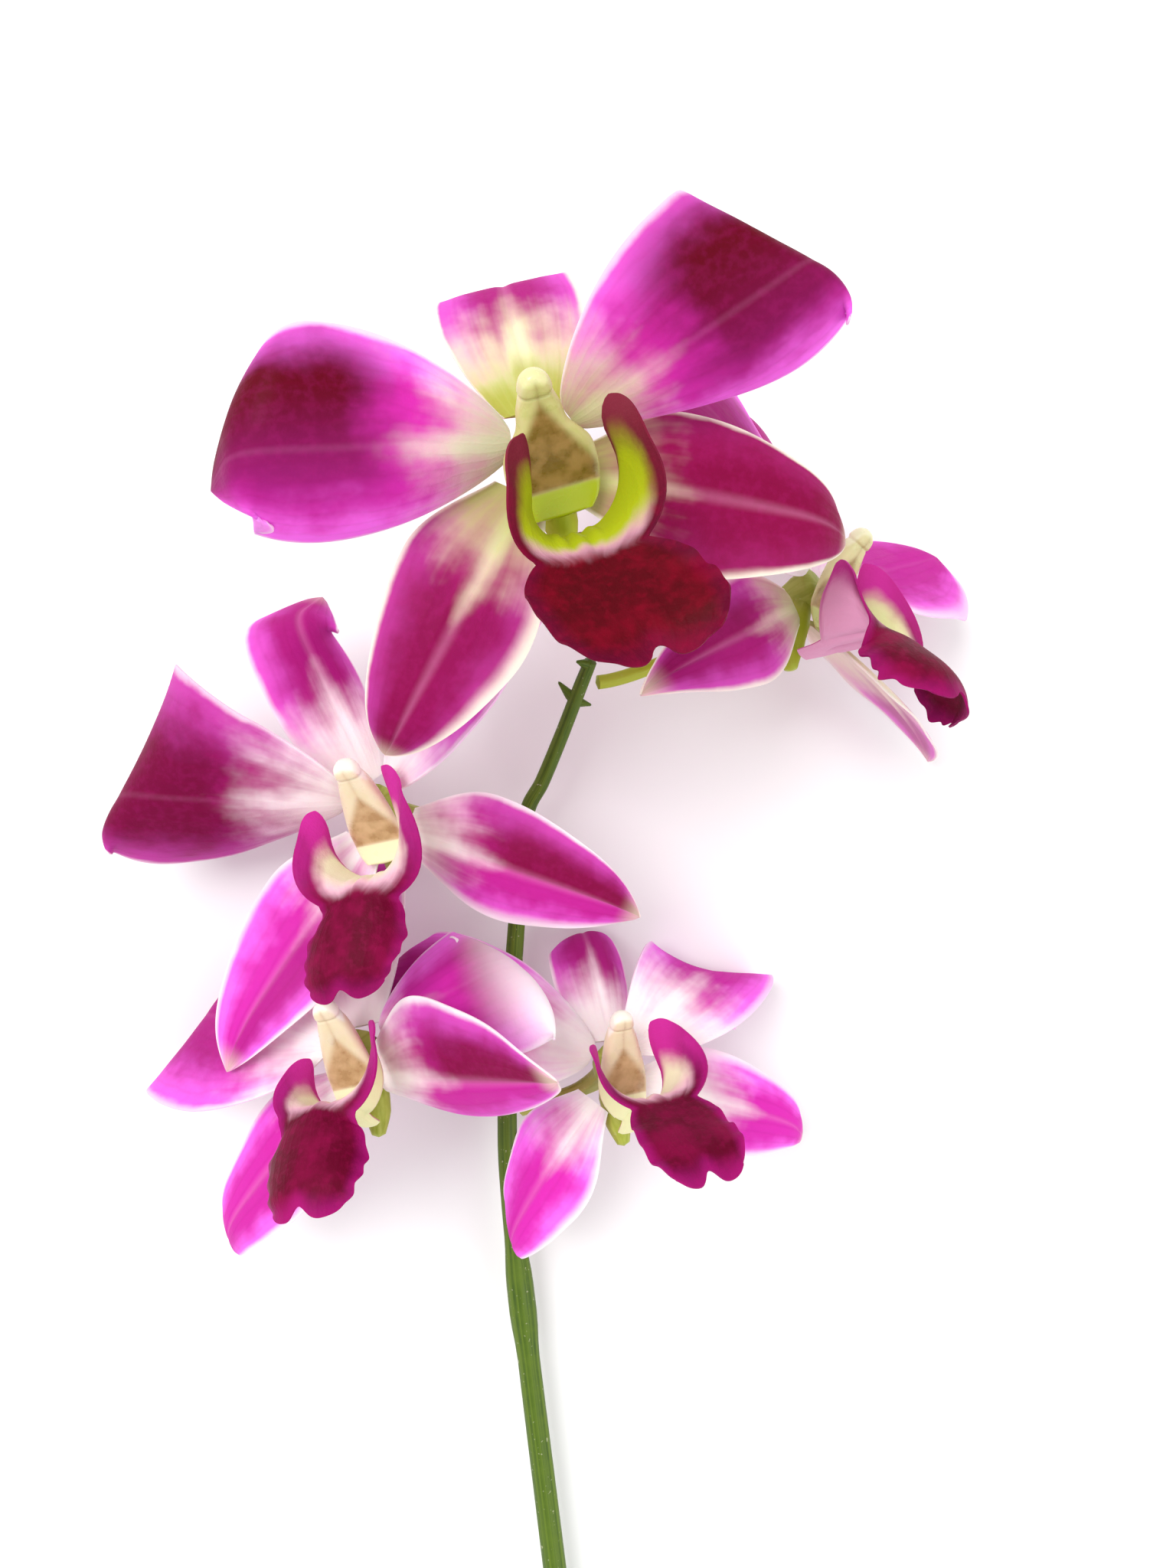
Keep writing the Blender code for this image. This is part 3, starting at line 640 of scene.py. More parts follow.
def green_finish(name, dark, light, fibres, scars):
    """Green skin with fibres along it, paler specks and a waxy bloom."""
    made, tree, shader = new_finish(name)
    place = object_place(tree)
    across, along = across_and_along(tree)
    lines = noise(tree, vector_of(tree, times(tree, across, fibres),
                                  times(tree, along, 3.0), 0.0), 1.0, 3.0, 0.6)
    mottle = noise(tree, place, 260.0, 4.0, 0.6)
    colour = mixed(tree, rises(tree, lines, 0.3, 0.7), dark, light)
    colour = mixed(tree, rises(tree, mottle, 0.35, 0.75, 0.0, 0.5), colour, light)
    speck = noise(tree, place, 1500.0, 1.0)
    colour = mixed(tree, rises(tree, speck, 0.68, 0.78, 0.0, scars), colour, SCAR)
    colour = mixed(tree, share_of(tree, "dry"), colour, DRIED)
    colour = mixed(tree, share_of(tree, "lime"), colour, LIMY_SKIN)
    feed(tree, shader.inputs["Base Color"], colour)
    feed(tree, shader.inputs["Roughness"], rises(tree, mottle, 0.3, 0.7, 0.36, 0.56))
    height = maths(tree, "MULTIPLY_ADD", lines, 0.8, times(tree, speck, 0.4))
    bumped(tree, shader, height, 0.12, 0.8)
    shader.inputs["Specular IOR Level"].default_value = 0.25
    return made


def stem_finish():
    return green_finish("stem_green_skin", dark=(0.035, 0.08, 0.004), light=(0.12, 0.19, 0.015),
                        fibres=9.0, scars=0.45)


def stalk_finish():
    return green_finish("stalk_pale_green_skin", dark=(0.26, 0.30, 0.03), light=(0.44, 0.47, 0.10),
                        fibres=6.0, scars=0.25)


# Sepals and petals

# The share of the width at the claw, where it is widest, how slowly it widens and how late it narrows.
OUTLINE = {
    "dorsal": (0.42, 0.45, 0.8, 2.2),
    "petal": (0.16, 0.54, 0.75, 2.2),
    "lateral": (0.42, 0.30, 1.1, 1.7),
}

# Azimuth is measured in the bloom's plane from its top. Lift leans the claw to the front, bow and
# fold bend the blade back along its length, and the pair of curls rolls its left and right halves.
# The fold lies at fold_at, along a line that skew turns, and is fold_reach long each way. A low
# blunt gives a round end. Radius and depth seat the claw round the bloom's middle.
ANY_TEPAL = dict(bow=30, fold_at=0.80, fold_reach=0.16, curl=(15, 15), skew=0, roll=0, twist=0)
TEPAL = {
    "dorsal": dict(ANY_TEPAL, azimuth=0, length=38, width=20, lift=8, fold=60, blunt=0.75,
                   radius=3.7, depth=-1.6),
    "petal": dict(ANY_TEPAL, azimuth=68, length=41, width=32, lift=12, bow=25, fold=80, blunt=0.6,
                  radius=4.0, depth=0.9),
    "lateral": dict(ANY_TEPAL, azimuth=124, length=38, width=20, lift=2, fold=30, blunt=0.85,
                    radius=0.4, depth=-2.8),
}
# Where a lateral sepal sits beside and below the middle, and how much narrower its inner half starts.
LATERAL_SEAT = (3.1, -4.6)
INNER_CUT = 0.3
# How high the margins wave, and in how many half waves along the blade.
WAVE = 0.2
WAVES = 5.2
# Rows along and columns across, and how thick the middle of each kind and every margin are.
TEPAL_GRID = (84, 46)
TEPAL_THICKNESS = {"petal": 0.65, "sepal": 0.75}
TEPAL_MARGIN = 0.28
# How far the looks of a blade's two halves, painted shade included, run into each other at its midrib.
HALVES_MIX = {"dorsal": 0.4, "petal": 0.5, "lateral": 0.06}
# How deep the crease along the midrib is.
RIB_DEPTH = {"dorsal": 0.2, "petal": 0.07, "lateral": 0.2}


def half_width(t, kind, blunt):
    """Half the width at share t of the length, as a share of the greatest half width."""
    claw, widest, slow, fall = OUTLINE[kind]
    up = claw + (1 - claw) * np.sin(pi / 2 * np.clip(t / widest, 0, 1)) ** slow
    down = np.clip((t - widest) / (1 - widest), 0, 1)
    return up * (1 - down ** fall) ** blunt


def full_share(t):
    """Rows lie closer towards the tip, where the outline turns fastest."""
    return 1 - (1 - t) ** 1.35


def tepal_points(kind, side, size, t, s, phase):
    """The middle surface of a sepal or petal, x across, y along, z to the front."""
    t = full_share(t)
    length = size["length"]
    width = size["width"] / 2 * half_width(t, kind, size["blunt"])
    if kind == "lateral":
        # The half beside the lip is narrower near the chin.
        width *= 1 - INNER_CUT * (s * side > 0) * (1 - smooth(t, 0.05, 0.5))
    curl = np.radians(np.where(s < 0, size["curl"][0], size["curl"][1])) * np.abs(s)
    curl = np.where(np.abs(curl) < 1e-4, 1e-4, curl)
    x = width * s * np.sin(curl) / curl
    z = -width * np.abs(s) * (1 - np.cos(curl)) / curl
    # A shallow crease along the midrib, and a margin that waves a little.
    z -= RIB_DEPTH[kind] * np.exp(-(s / 0.09) ** 2) * smooth(t, 0.02, 0.2) * (1 - smooth(t, 0.85, 1.0))
    z += WAVE * np.abs(s) ** 4 * np.sin(pi * WAVES * t + phase + 2.1 * np.sign(s)) * smooth(t, 0.15, 0.4)
    turn = np.radians(size["roll"] + size["twist"] * t)
    x, z = x * np.cos(turn) + z * np.sin(turn), z * np.cos(turn) - x * np.sin(turn)
    # The blade bends round lines that lie skew to its length.
    skew = radians(size["skew"])
    along = t * length * cos(skew) + x * sin(skew)
    beside = x * cos(skew) - t * length * sin(skew)
    fine = np.linspace(-0.5, 1.5, BEND_STEPS + 1)
    place = np.clip(fine, 0, 1.15)
    fold = smooth(place, size["fold_at"] - size["fold_reach"], size["fold_at"] + size["fold_reach"])
    angle = np.radians(-size["lift"] + size["bow"] * place + size["fold"] * fold)
    run, back = arc(angle, 2 * length / BEND_STEPS)
    run = run - np.interp(0, fine, run)
    back = np.interp(0, fine, back) - back
    here = along / length
    tilt = np.interp(here, fine, angle)
    far = np.interp(here, fine, run) + z * np.sin(tilt)
    front = np.interp(here, fine, back) + z * np.cos(tilt)
    return np.stack([beside * cos(skew) + far * sin(skew), far * cos(skew) - beside * sin(skew), front], -1)


def map_by_share(made):
    """Stretches the piece's own map along it the way its rows are spaced."""
    for loop in made.data.uv_layers.active.data:
        loop.uv.y = full_share(min(1.0, max(0.0, loop.uv.y)))


def tepal(bloom, kind, part, side):
    """One sepal or petal, seated round the middle of its bloom. Side is -1 left, 1 right, 0 on top."""
    name = f"{bloom['name']}_{part}"
    tissue = "petal" if kind == "petal" else "sepal"
    thickness = TEPAL_THICKNESS[tissue]
    shape = dict(TEPAL[kind], **bloom.get(part, {}))
    look = dict(LOOK[kind], **LOOK.get(name, {}))
    scale = bloom["size"]
    # The margins of no two blooms wave alike.
    phase = 1.7 * int(bloom["name"][-1]) + side
    made, s, t = blade(name, *TEPAL_GRID, lambda t, s: tepal_points(kind, side, shape, t, s, phase) * scale)
    for key in ("cream", "pale", "tip"):
        set_share(made, key, look[key])
    # The two halves of a petal run into each other and those of a sepal part at its midrib.
    right = smooth(s, -HALVES_MIX[kind], HALVES_MIX[kind])
    # Bright, deep and spread hold the blade's own colour and, where its halves differ, painted shade on the half
    # that curls away from the light.
    for key in ("bright", "deep", "margin", "spread"):
        left_value, right_value = np.broadcast_to(look[key], 2)
        set_share(made, key, left_value + (right_value - left_value) * right)
    map_by_share(made)
    thicken(made, thickness, TEPAL_MARGIN, (0, 0, 1))
    turn = radians(shape["azimuth"]) * (side or 1)
    seat = LATERAL_SEAT if kind == "lateral" else (0, 0)
    across = side * seat[0] + shape["radius"] * sin(turn)
    place = (across, seat[1] + shape["radius"] * cos(turn), shape["depth"])
    own = Matrix.Translation(Vector(place) * scale * MM) @ Matrix.Rotation(-turn, 4, "Z")
    return finish_piece(made, bloom["place"] @ own, FINISH[tissue], [name])


def dorsal_sepal(bloom):
    return tepal(bloom, "dorsal", "dorsal_sepal", 0)


def petal(bloom, hand, side):
    return tepal(bloom, "petal", f"petal_{hand}", side)


def lateral_sepal(bloom, hand, side):
    return tepal(bloom, "lateral", f"lateral_sepal_{hand}", side)


# Lip

# The lip runs forwards from the end of the chin at root_up and root_front, bends down by droop at
# its knee and again by tip. Its left and right sides stand up as lobes that reach wall from the
# middle, turn up over floor and lean out again by flare.
LIP = dict(length=36, root_up=-10.5, root_front=-4.0, rise=0, droop=66, knee=0.47, tip=18, wall=(15, 15),
           waist=6.5, blade=9.5, floor=(10, 10), wall_bend=92, flare=(11, 11), blade_bend=-30, bend=0,
           ripple=0.5, notch=0.06)
LIP_CLAW = 1.6
KEEL_HEIGHT = 0.7
# Half waves of the ripples along the front lobe's margin and of the small frills on them, and how
# high those frills are.
RIPPLES = 7.2
FRILLS = 19
FRILL = 0.35
LIP_GRID = (110, 84)
LIP_THICKNESS = 0.7
LIP_MARGIN = 0.3


def of_side(pair, s):
    return np.where(s < 0, pair[0], pair[1])


def lip_width(t, s, size):
    """Half the width of the flattened lip: side lobes, then a waist, then the front lobe."""
    lobes = smooth(t, 0.12, 0.26) * (1 - smooth(t, 0.28, 0.60)) ** 0.8
    lobes = LIP_CLAW + (of_side(size["wall"], s) - LIP_CLAW) * lobes
    reach = np.where(t > 0.74, 0.275, 0.30)
    front = size["blade"] * np.sqrt(np.clip(1 - np.abs((t - 0.74) / reach) ** 2.4, 0, 1))
    neck = np.where(t < 0.3, LIP_CLAW + 4.0 * t, size["waist"])
    return np.maximum(np.maximum(lobes, front), neck)


def keels(x, t):
    """Three low ridges along the throat, the middle one the longest."""
    made = np.exp(-(x / 0.7) ** 2) * (1 - smooth(t, 0.42, 0.56))
    for side in (-1, 1):
        made = made + 0.8 * np.exp(-((x - 1.9 * side) / 0.6) ** 2) * (1 - smooth(t, 0.34, 0.48))
    return KEEL_HEIGHT * made * smooth(t, 0.08, 0.2)


def lip_points(size, t, s):
    """The middle surface of the lip in its bloom: x to the right, y up, z to the front."""
    fine = np.linspace(0, 1, BEND_STEPS + 1)
    knee = smooth(fine, size["knee"] - 0.12, size["knee"] + 0.12)
    angle = np.radians(size["rise"] + size["droop"] * knee + size["tip"] * smooth(fine, 0.7, 1.0))
    forward, down = arc(angle, size["length"] / BEND_STEPS)
    notch = size["notch"] * np.exp(-(s / 0.22) ** 2) + 0.05 * np.abs(s) ** 4
    t = t * (1 - notch * smooth(t, 0.75, 1.0))
    half = lip_width(t, s, size)
    reach = np.abs(s) * half
    wall = of_side(size["wall"], s)[:, None]
    floor = of_side(size["floor"], s)[:, None]
    flare = np.radians(of_side(size["flare"], s))[:, None]
    open_out = smooth(t, 0.38, 0.56)
    # The section is followed outwards from the middle in short steps that turn up into a wall.
    steps = 30
    out = (np.arange(steps) + 0.5) / steps * reach[:, None]
    blend = open_out[:, None]
    turn_over = floor * (1 - blend) + half[:, None] * blend
    closing = size["wall_bend"] * (1.12 - 0.35 * smooth(t, 0.18, 0.48))[:, None]
    top = np.radians(closing * (1 - blend) + size["blade_bend"] * blend)
    past = np.clip((out - floor) / (wall - floor), 0, 1) * (1 - blend)
    slope = top * np.clip(out / turn_over, 0, 1) - flare * past ** 1.5
    x = np.cos(slope).mean(-1) * reach
    height = np.sin(slope).mean(-1) * reach
    ripples = np.sin(RIPPLES * pi * t + 1.3 * np.sign(s)) * smooth(t, 0.5, 0.7)
    frills = np.sin(FRILLS * pi * t + 0.7 * np.sign(s)) * smooth(t, 0.55, 0.7)
    height += size["ripple"] * np.abs(s) ** 3 * ripples + FRILL * np.abs(s) ** 6 * frills
    height += keels(x * np.sign(s), t)
    lean = np.interp(t, fine, angle)
    front = np.interp(t, fine, forward) + size["root_front"] + height * np.sin(lean)
    up = size["root_up"] - np.interp(t, fine, down) + height * np.cos(lean)
    right = x * np.sign(s) + size["bend"] * smooth(t, 0.4, 1.0)
    return np.stack([right, up, front], -1)


def lip(bloom):
    shape = dict(LIP, **bloom.get("lip", {}))
    scale = bloom["size"]
    name = f"{bloom['name']}_lip"
    made = blade(name, *LIP_GRID, lambda t, s: lip_points(shape, t, s) * scale)[0]
    look = dict(LOOK["lip"], **LOOK.get(name, {}))
    for key in ("bright", "green", "rim", "pink_side"):
        set_share(made, key, look[key])
    thicken(made, LIP_THICKNESS, LIP_MARGIN, (0, 1, 1))
    return finish_piece(made, bloom["place"], FINISH["lip"], [name])


# Column, ovary and stalk

def local_points(made, bloom):
    """The piece's points in its bloom, in the bloom's own millimetres."""
    return (points_of(made) / (bloom["size"] * MM)).T


# The column from the end of its foot above the lip, up over the throat to the anther cap: how high
# and how far to the front, half its depth and half its width. It narrows to a groove at the cap.
COLUMN = (
    (-8.7, -0.4, 0.4, 2.3),
    (-7.2, -0.2, 0.5, 3.2),
    (-5.2, 0.3, 0.8, 3.7),
    (-3.4, 1.5, 1.2, 3.8),
    (-1.4, 2.9, 1.6, 3.5),
    (0.6, 4.4, 1.9, 3.0),
    (2.2, 5.8, 2.0, 2.5),
    (3.2, 7.0, 1.8, 2.0),
    (3.8, 8.0, 1.9, 1.9),
    (4.2, 9.0, 1.5, 1.5),
    (4.4, 9.7, 0.5, 0.5),
)
COLUMN_STEPS = 7
COLUMN_SIDES = 48
# The line between column and cap and the hollow over the throat: how deep each is as a share of the
# radius, where along the column it lies and how far it reaches.
CAP_SEAM = (0.10, 0.735, 0.018)
HOLLOW = (0.22, 0.42, 0.16)
FLATTENED = 0.3
# How green the pale blooms are, where a green of 1 is the limy front bloom.
LEAST_GREEN = 0.2


def dip(t, deep, at, reach):
    return deep * np.exp(-((t - at) / reach) ** 2)


def column(bloom):
    """The column rises from its foot, arches over the throat and ends in its anther cap."""
    scale = bloom["size"]
    path = through([(0, up, front) for up, front, deep, wide in COLUMN], COLUMN_STEPS)
    places = np.linspace(0, 1, len(path))
    depths = eased([deep for up, front, deep, wide in COLUMN], len(path))
    broad = bloom.get("broad", 1.0)
    widths = eased([wide * (broad if up < 0 else 1) for up, front, deep, wide in COLUMN], len(path))

    def depth(t, angle):
        front = np.maximum(0, -np.cos(angle))
        hollow = FLATTENED * front ** 2 + dip(t, *HOLLOW) * front ** 4
        return np.interp(t, places, depths) * (1 - hollow - dip(t, *CAP_SEAM)) * scale

    def width(t, angle):
        return np.interp(t, places, widths) * (1 - dip(t, *CAP_SEAM)) * scale

    name = f"{bloom['name']}_column"
    made = rolled(name, [point * scale for point in path], depth, COLUMN_SIDES, (0, 0, -1), width)
    across, up, front = local_points(made, bloom)
    # The face over the throat carries painted shade in tan, the foot and flanks are green and the cap is cream.
    set_share(made, "cap", smooth(up - 0.45 * (front - 8), 2.6, 3.1) * smooth(front, 6.2, 6.9))
    green = bloom.get("green", LEAST_GREEN)
    # The painted shade on the underside reaches higher on a greener bloom.
    shade_top = 0.2 + 2.0 * green
    half = np.clip((shade_top - up) * 0.85, 0.01, 9)
    shaded_underside = smooth(half - np.abs(across), -0.6, 0.9) * smooth(up, -5.9, -5.5)
    set_share(made, "shaded_underside", shaded_underside * smooth(front - 0.75 * (up + 5.2), 0.2, 0.8))
    set_share(made, "foot", 1 - smooth(up, -6.0, -5.5))
    set_share(made, "green", green)
    soften(made)
    return finish_piece(made, bloom["place"], FINISH["column"], [name])


def fuse(body, extras):
    """Joins each extra solid to the body and removes it as an object of its own."""
    for extra in extras:
        apply_modifier(body, "BOOLEAN", operation="UNION", object=extra)
        bpy.data.objects.remove(extra, do_unlink=True)


def resampled(path, radii, steps):
    """The same path with steps between its points, and the radius at each."""
    finer = through(path, steps)
    sizes = np.interp(np.arange(len(finer)) / steps, np.arange(len(radii)), radii)
    return finer, sizes


def ribbed(sizes, ribs, depth):
    """A radius that follows sizes along the path with low ribs round it."""
    places = np.linspace(0, 1, len(sizes))
    return lambda t, angle: np.interp(t, places, sizes) * (1 + depth * np.cos(ribs * angle))


# The stalk swells from its radius towards the ovary, whose last sections lie this far ahead of the
# bloom's middle, with the radius at each.
STALK_STEPS = 12
STALK_RADIUS = 1.1
OVARY_SWELL = 0.75
OVARY_FROM = 0.55
OVARY = ((-3, 2.8), (-0.8, 3.1), (0.2, 1.8))
# How high and how far ahead of the bloom's middle the chin's sections lie, with the radius at each.
CHIN = ((-1.0, -3.0, 1.9), (-4.5, -5.0, 2.5), (-8.5, -6.3, 2.1), (-12.0, -6.6, 0.9))


def stalk(bloom):
    """The pedicel from the stem, swelling into the ovary, with the chin fused on below the bloom."""
    scale = bloom["size"]
    middle = Vector(bloom["at"])
    turn = bloom_turn(bloom).to_matrix()
    front = turn @ Vector((0, 0, 1))
    up = turn @ Vector((0, 1, 0))
    leave = Vector(bloom["leaves"]).normalized()
    start = Vector(bloom["node"]) + bloom["off"] * leave
    end = middle - 6 * scale * front
    path = bezier((start, start + 8 * leave, end - 10 * front, end), STALK_STEPS)
    swell = [max(0, i / STALK_STEPS - OVARY_FROM) / (1 - OVARY_FROM) for i in range(STALK_STEPS + 1)]
    radii = [STALK_RADIUS + OVARY_SWELL * share for share in swell]
    for ahead, radius in OVARY:
        path.append(middle + ahead * scale * front)
        radii.append(radius * scale)
    name = f"{bloom['name']}_stalk"
    path, sizes = resampled(path, radii, 5)
    made = rolled(name, path, ribbed(sizes, 6, 0.035), 36, up)
    chin = [middle + scale * (rise * up + ahead * front) for rise, ahead, radius in CHIN]
    chin, sizes = resampled(chin, [radius * scale for rise, ahead, radius in CHIN], 8)
    extra = rolled(name + "_chin", chin, ribbed(sizes, 2, 0.03), 32, front)
    fuse(made, [extra])
    set_share(made, "dry", 0.0)
    # The chin takes the lime of the throat in front of it.
    rise = (points_of(made) / MM - np.array(middle)) @ np.array(up) / scale
    set_share(made, "lime", bloom.get("green", LEAST_GREEN) * (1 - smooth(rise, -5, -2)))
    soften(made)
    return finish_piece(made, SPRAY, FINISH["stalk"], [name])


# Flower stem

# Points that the stem passes through from its cut end to its tip, with the radius at each.
STEM = (
    ((2.0, -190.0, 2.1), 1.95),
    ((-2.5, -156.0, 3.2), 1.95),
    ((-5.5, -129.5, 4.5), 1.9),
    ((-10.0, -91.0, 7.0), 1.8),
    ((-12.5, -66.5, 9.0), 1.6),
    ((-13.0, -53.5, 10.0), 1.55),
    ((-12.5, -40.0, 11.0), 1.45),
    ((-11.5, -24.5, 13.0), 1.35),
    ((-10.5, -14.0, 15.0), 1.25),
    ((-9.5, -4.5, 17.0), 1.2),
    ((-7.0, 0.5, 18.5), 1.15),
    ((-4.0, 7.5, 21.0), 1.1),
    ((-1.0, 15.0, 24.0), 1.05),
    ((0.5, 18.5, 26.0), 0.95),
)
STEM_STEPS = 12
JOINTS = (1, 3)
SHEATH = 0.45
DRY_STUB = dict(node=(-1.9, 12.4, 22.9), leaves=(-0.6, 0.7, 0.1), length=4.0, root=0.9)


def bract(name, node, leaves, length=2.6, root=0.8):
    """A small pointed scale that grows from the stem beside a stalk."""
    lean = Vector(leaves).normalized()
    path = [Vector(node) + share * length * lean for share in (-0.1, 0.35, 0.7, 1.0)]
    path, sizes = resampled(path, (root, root * 0.85, root * 0.5, 0.15), 5)
    made = rolled(name, path, ribbed(sizes, 3, 0.05), 20, (0, 0, 1))
    set_share(made, "dry", 0.75)
    return made


def flower_stem(blooms):
    path = through([point for point, radius in STEM], STEM_STEPS)
    radii = [radius for point, radius in STEM]
    sizes = np.interp(np.arange(len(path)), STEM_STEPS * np.arange(len(STEM)), radii)
    # A sheath clasps the stem just above each lower joint and thins out over its length.
    for joint in JOINTS:
        start = STEM_STEPS * joint
        over = np.arange(len(path)) - start
        sizes = sizes + SHEATH * smooth(over, -1, 2) * (1 - smooth(over, 4, 8))
    made = rolled("flower_stem", path, ribbed(sizes, 5, 0.03), 40, (0, 0, 1))
    set_share(made, "dry", 0.0)
    extras = []
    for bloom in blooms:
        leaves = Vector(bloom["leaves"]) * 0.4 + Vector(bloom["bract"])
        extras.append(bract(bloom["name"] + "_bract", bloom["bract_at"], leaves))
    extras.append(bract("dry_stub", **DRY_STUB))
    fuse(made, extras)
    soften(made)
    return finish_piece(made, SPRAY, FINISH["stem"], ["flower_stem"])


# Blooms

# Each bloom lists only what differs from the sepal, petal and lip above. It looks along yaw towards
# the right and pitch down, spins clockwise, and its stalk leaves the stem at node. Broad widens
# the lower part of its column.
BLOOM_1 = dict(
    name="bloom_1", green=1.0, broad=1.4, at=(-5.5, 41.0, 62.0), turn=(4, 0, -17), size=1.07,
    node=(0.5, 18.5, 26.0), leaves=(0.3, 0.85, 0.45), off=0.5, bract_at=(0.1, 17.7, 25.6),
    bract=(-0.9, -0.2, 0.6),
    dorsal_sepal=dict(azimuth=5, length=35, width=17, lift=-9, bow=64, fold=112, fold_at=0.66,
                      fold_reach=0.11, curl=(3, 0), skew=-6, roll=2, twist=3),
    petal_left=dict(azimuth=80, length=39, width=27.5, lift=29, bow=21, fold=79, fold_at=0.72,
                    fold_reach=0.10, curl=(71, 41), skew=19, roll=-6, twist=-12, blunt=0.87, radius=3.6,
                    depth=0.1),
    petal_right=dict(azimuth=74, length=39.5, width=26, lift=34, bow=29, fold=114, fold_at=0.65,
                     fold_reach=0.07, curl=(3, 74), skew=-32, roll=14, twist=-17, blunt=0.95),
    lateral_sepal_left=dict(azimuth=134, width=19, bow=25, fold=47, curl=(5, 11), skew=-8, roll=4,
                            twist=-5),
    lateral_sepal_right=dict(azimuth=114, length=39, width=19.5, lift=7, bow=35, fold=39, fold_at=0.78,
                             skew=-5, twist=-4, radius=0.1),
    lip=dict(length=29.5, rise=15, droop=38, knee=0.41, tip=21, wall=(15, 18.5), waist=5.5,
             floor=(7.5, 13.5), wall_bend=98, flare=(8, 49), blade_bend=22, bend=3.5),
)
BLOOM_2 = dict(
    name="bloom_2", green=0.7, at=(34.0, 29.5, 26.0), turn=(55, -20, 20), size=1.0,
    node=(-1.0, 15.0, 24.0), leaves=(0.95, 0.1, -0.25), off=2.2, bract_at=(-1.9, 12.5, 22.9),
    bract=(0.3, -0.2, -0.1),
    dorsal_sepal=dict(azimuth=-16),
    petal_right=dict(azimuth=65, length=29, width=28.5, lift=32, bow=-8, fold=148, curl=(49, -11),
                     skew=59, roll=-6, twist=16),
    lateral_sepal_left=dict(azimuth=127, length=36.5, width=16, bow=38, curl=(13, 4), skew=23, twist=-4),
    lateral_sepal_right=dict(azimuth=105, length=37, width=21.5, lift=11, bow=23, curl=(24, 8), skew=30,
                             roll=-26, twist=-14, radius=-0.3),
    lip=dict(length=30.5, root_front=-4.3, rise=13, droop=43, knee=0.5, tip=34, wall=(14, 17.5),
             waist=7, blade=12, floor=(10, 8.5), wall_bend=96, flare=(9, 3), blade_bend=-65, bend=1),
)
BLOOM_3 = dict(
    name="bloom_3", at=(-31.0, -3.0, 30.0), turn=(-15, -8, -12), size=1.0, node=(-10.0, -8.5, 16.0),
    leaves=(-0.9, 0.3, 0.3), off=2.0, bract_at=(-10.2, -11.6, 15.5), bract=(-0.3, -0.3, 0),
    dorsal_sepal=dict(azimuth=-11, length=35.5, width=17, lift=34, bow=11, fold=90, fold_at=0.65,
                      fold_reach=0.13, curl=(21, 52), skew=-22, roll=24, twist=27, blunt=0.81,
                      radius=4.1, depth=-1.7),
    petal_left=dict(azimuth=74, length=41.5, width=33.5, lift=43, bow=34, fold=106, fold_at=0.57,
                    fold_reach=0.13, curl=(32, -7), skew=41, roll=-27, twist=12, blunt=0.74),
    petal_right=dict(azimuth=47, length=43, width=28.5, lift=28, bow=16, fold=89, fold_at=0.83,
                     curl=(24, -17), skew=32, roll=-12, twist=10, blunt=0.64),
    lateral_sepal_left=dict(azimuth=139, length=39.5, width=18.5, lift=15, bow=10, curl=(-3, -7),
                            roll=3, twist=-12, depth=-3.2),
    lateral_sepal_right=dict(azimuth=119, width=19, lift=6, bow=36, fold=34, curl=(10, 38), skew=-11,
                             roll=12),
    lip=dict(length=29, root_front=-4.2, rise=8, droop=68, tip=30, wall=(15.5, 19), waist=6, blade=8,
             floor=(11, 9), wall_bend=89, flare=(30, -6), blade_bend=-47, bend=-3.5),
)
BLOOM_4 = dict(
    name="bloom_4", at=(-33.5, -38.0, 32.0), turn=(-22, -22, -15), size=0.97, node=(-12.5, -39.5, 11.0),
    leaves=(-0.8, 0.2, 0.55), off=2.0, bract_at=(-12.6, -42.8, 10.8), bract=(-0.3, -0.1, 0),
    dorsal_sepal=dict(width=16.5, lift=4, bow=26, fold=40, curl=(15, 3), roll=-4),
    petal_left=dict(length=41.5, width=31, lift=4, bow=42, fold=100, fold_at=0.75,
                    curl=(-8, 12), skew=5, roll=3, twist=13),
    petal_right=dict(azimuth=72, length=38, width=26, lift=7, bow=38, fold=158, fold_at=0.60,
                     curl=(34, 48), skew=-19, twist=-8, radius=5.0, depth=0.2),
    lateral_sepal_left=dict(width=19, bow=33, fold=41, roll=5, twist=4),
    lateral_sepal_right=dict(azimuth=103, length=35, width=25, lift=16, bow=-5, fold=-11, fold_at=0.76,
                             curl=(14, 66), skew=-19, roll=31, twist=10, radius=0, depth=-2.0),
    lip=dict(length=31, root_front=-4.1, rise=-2, droop=71, knee=0.49, tip=26, wall=(12.5, 16), waist=6,
             blade=8.5, floor=(10.5, 10), wall_bend=96, flare=(12, 6), blade_bend=-54),
)
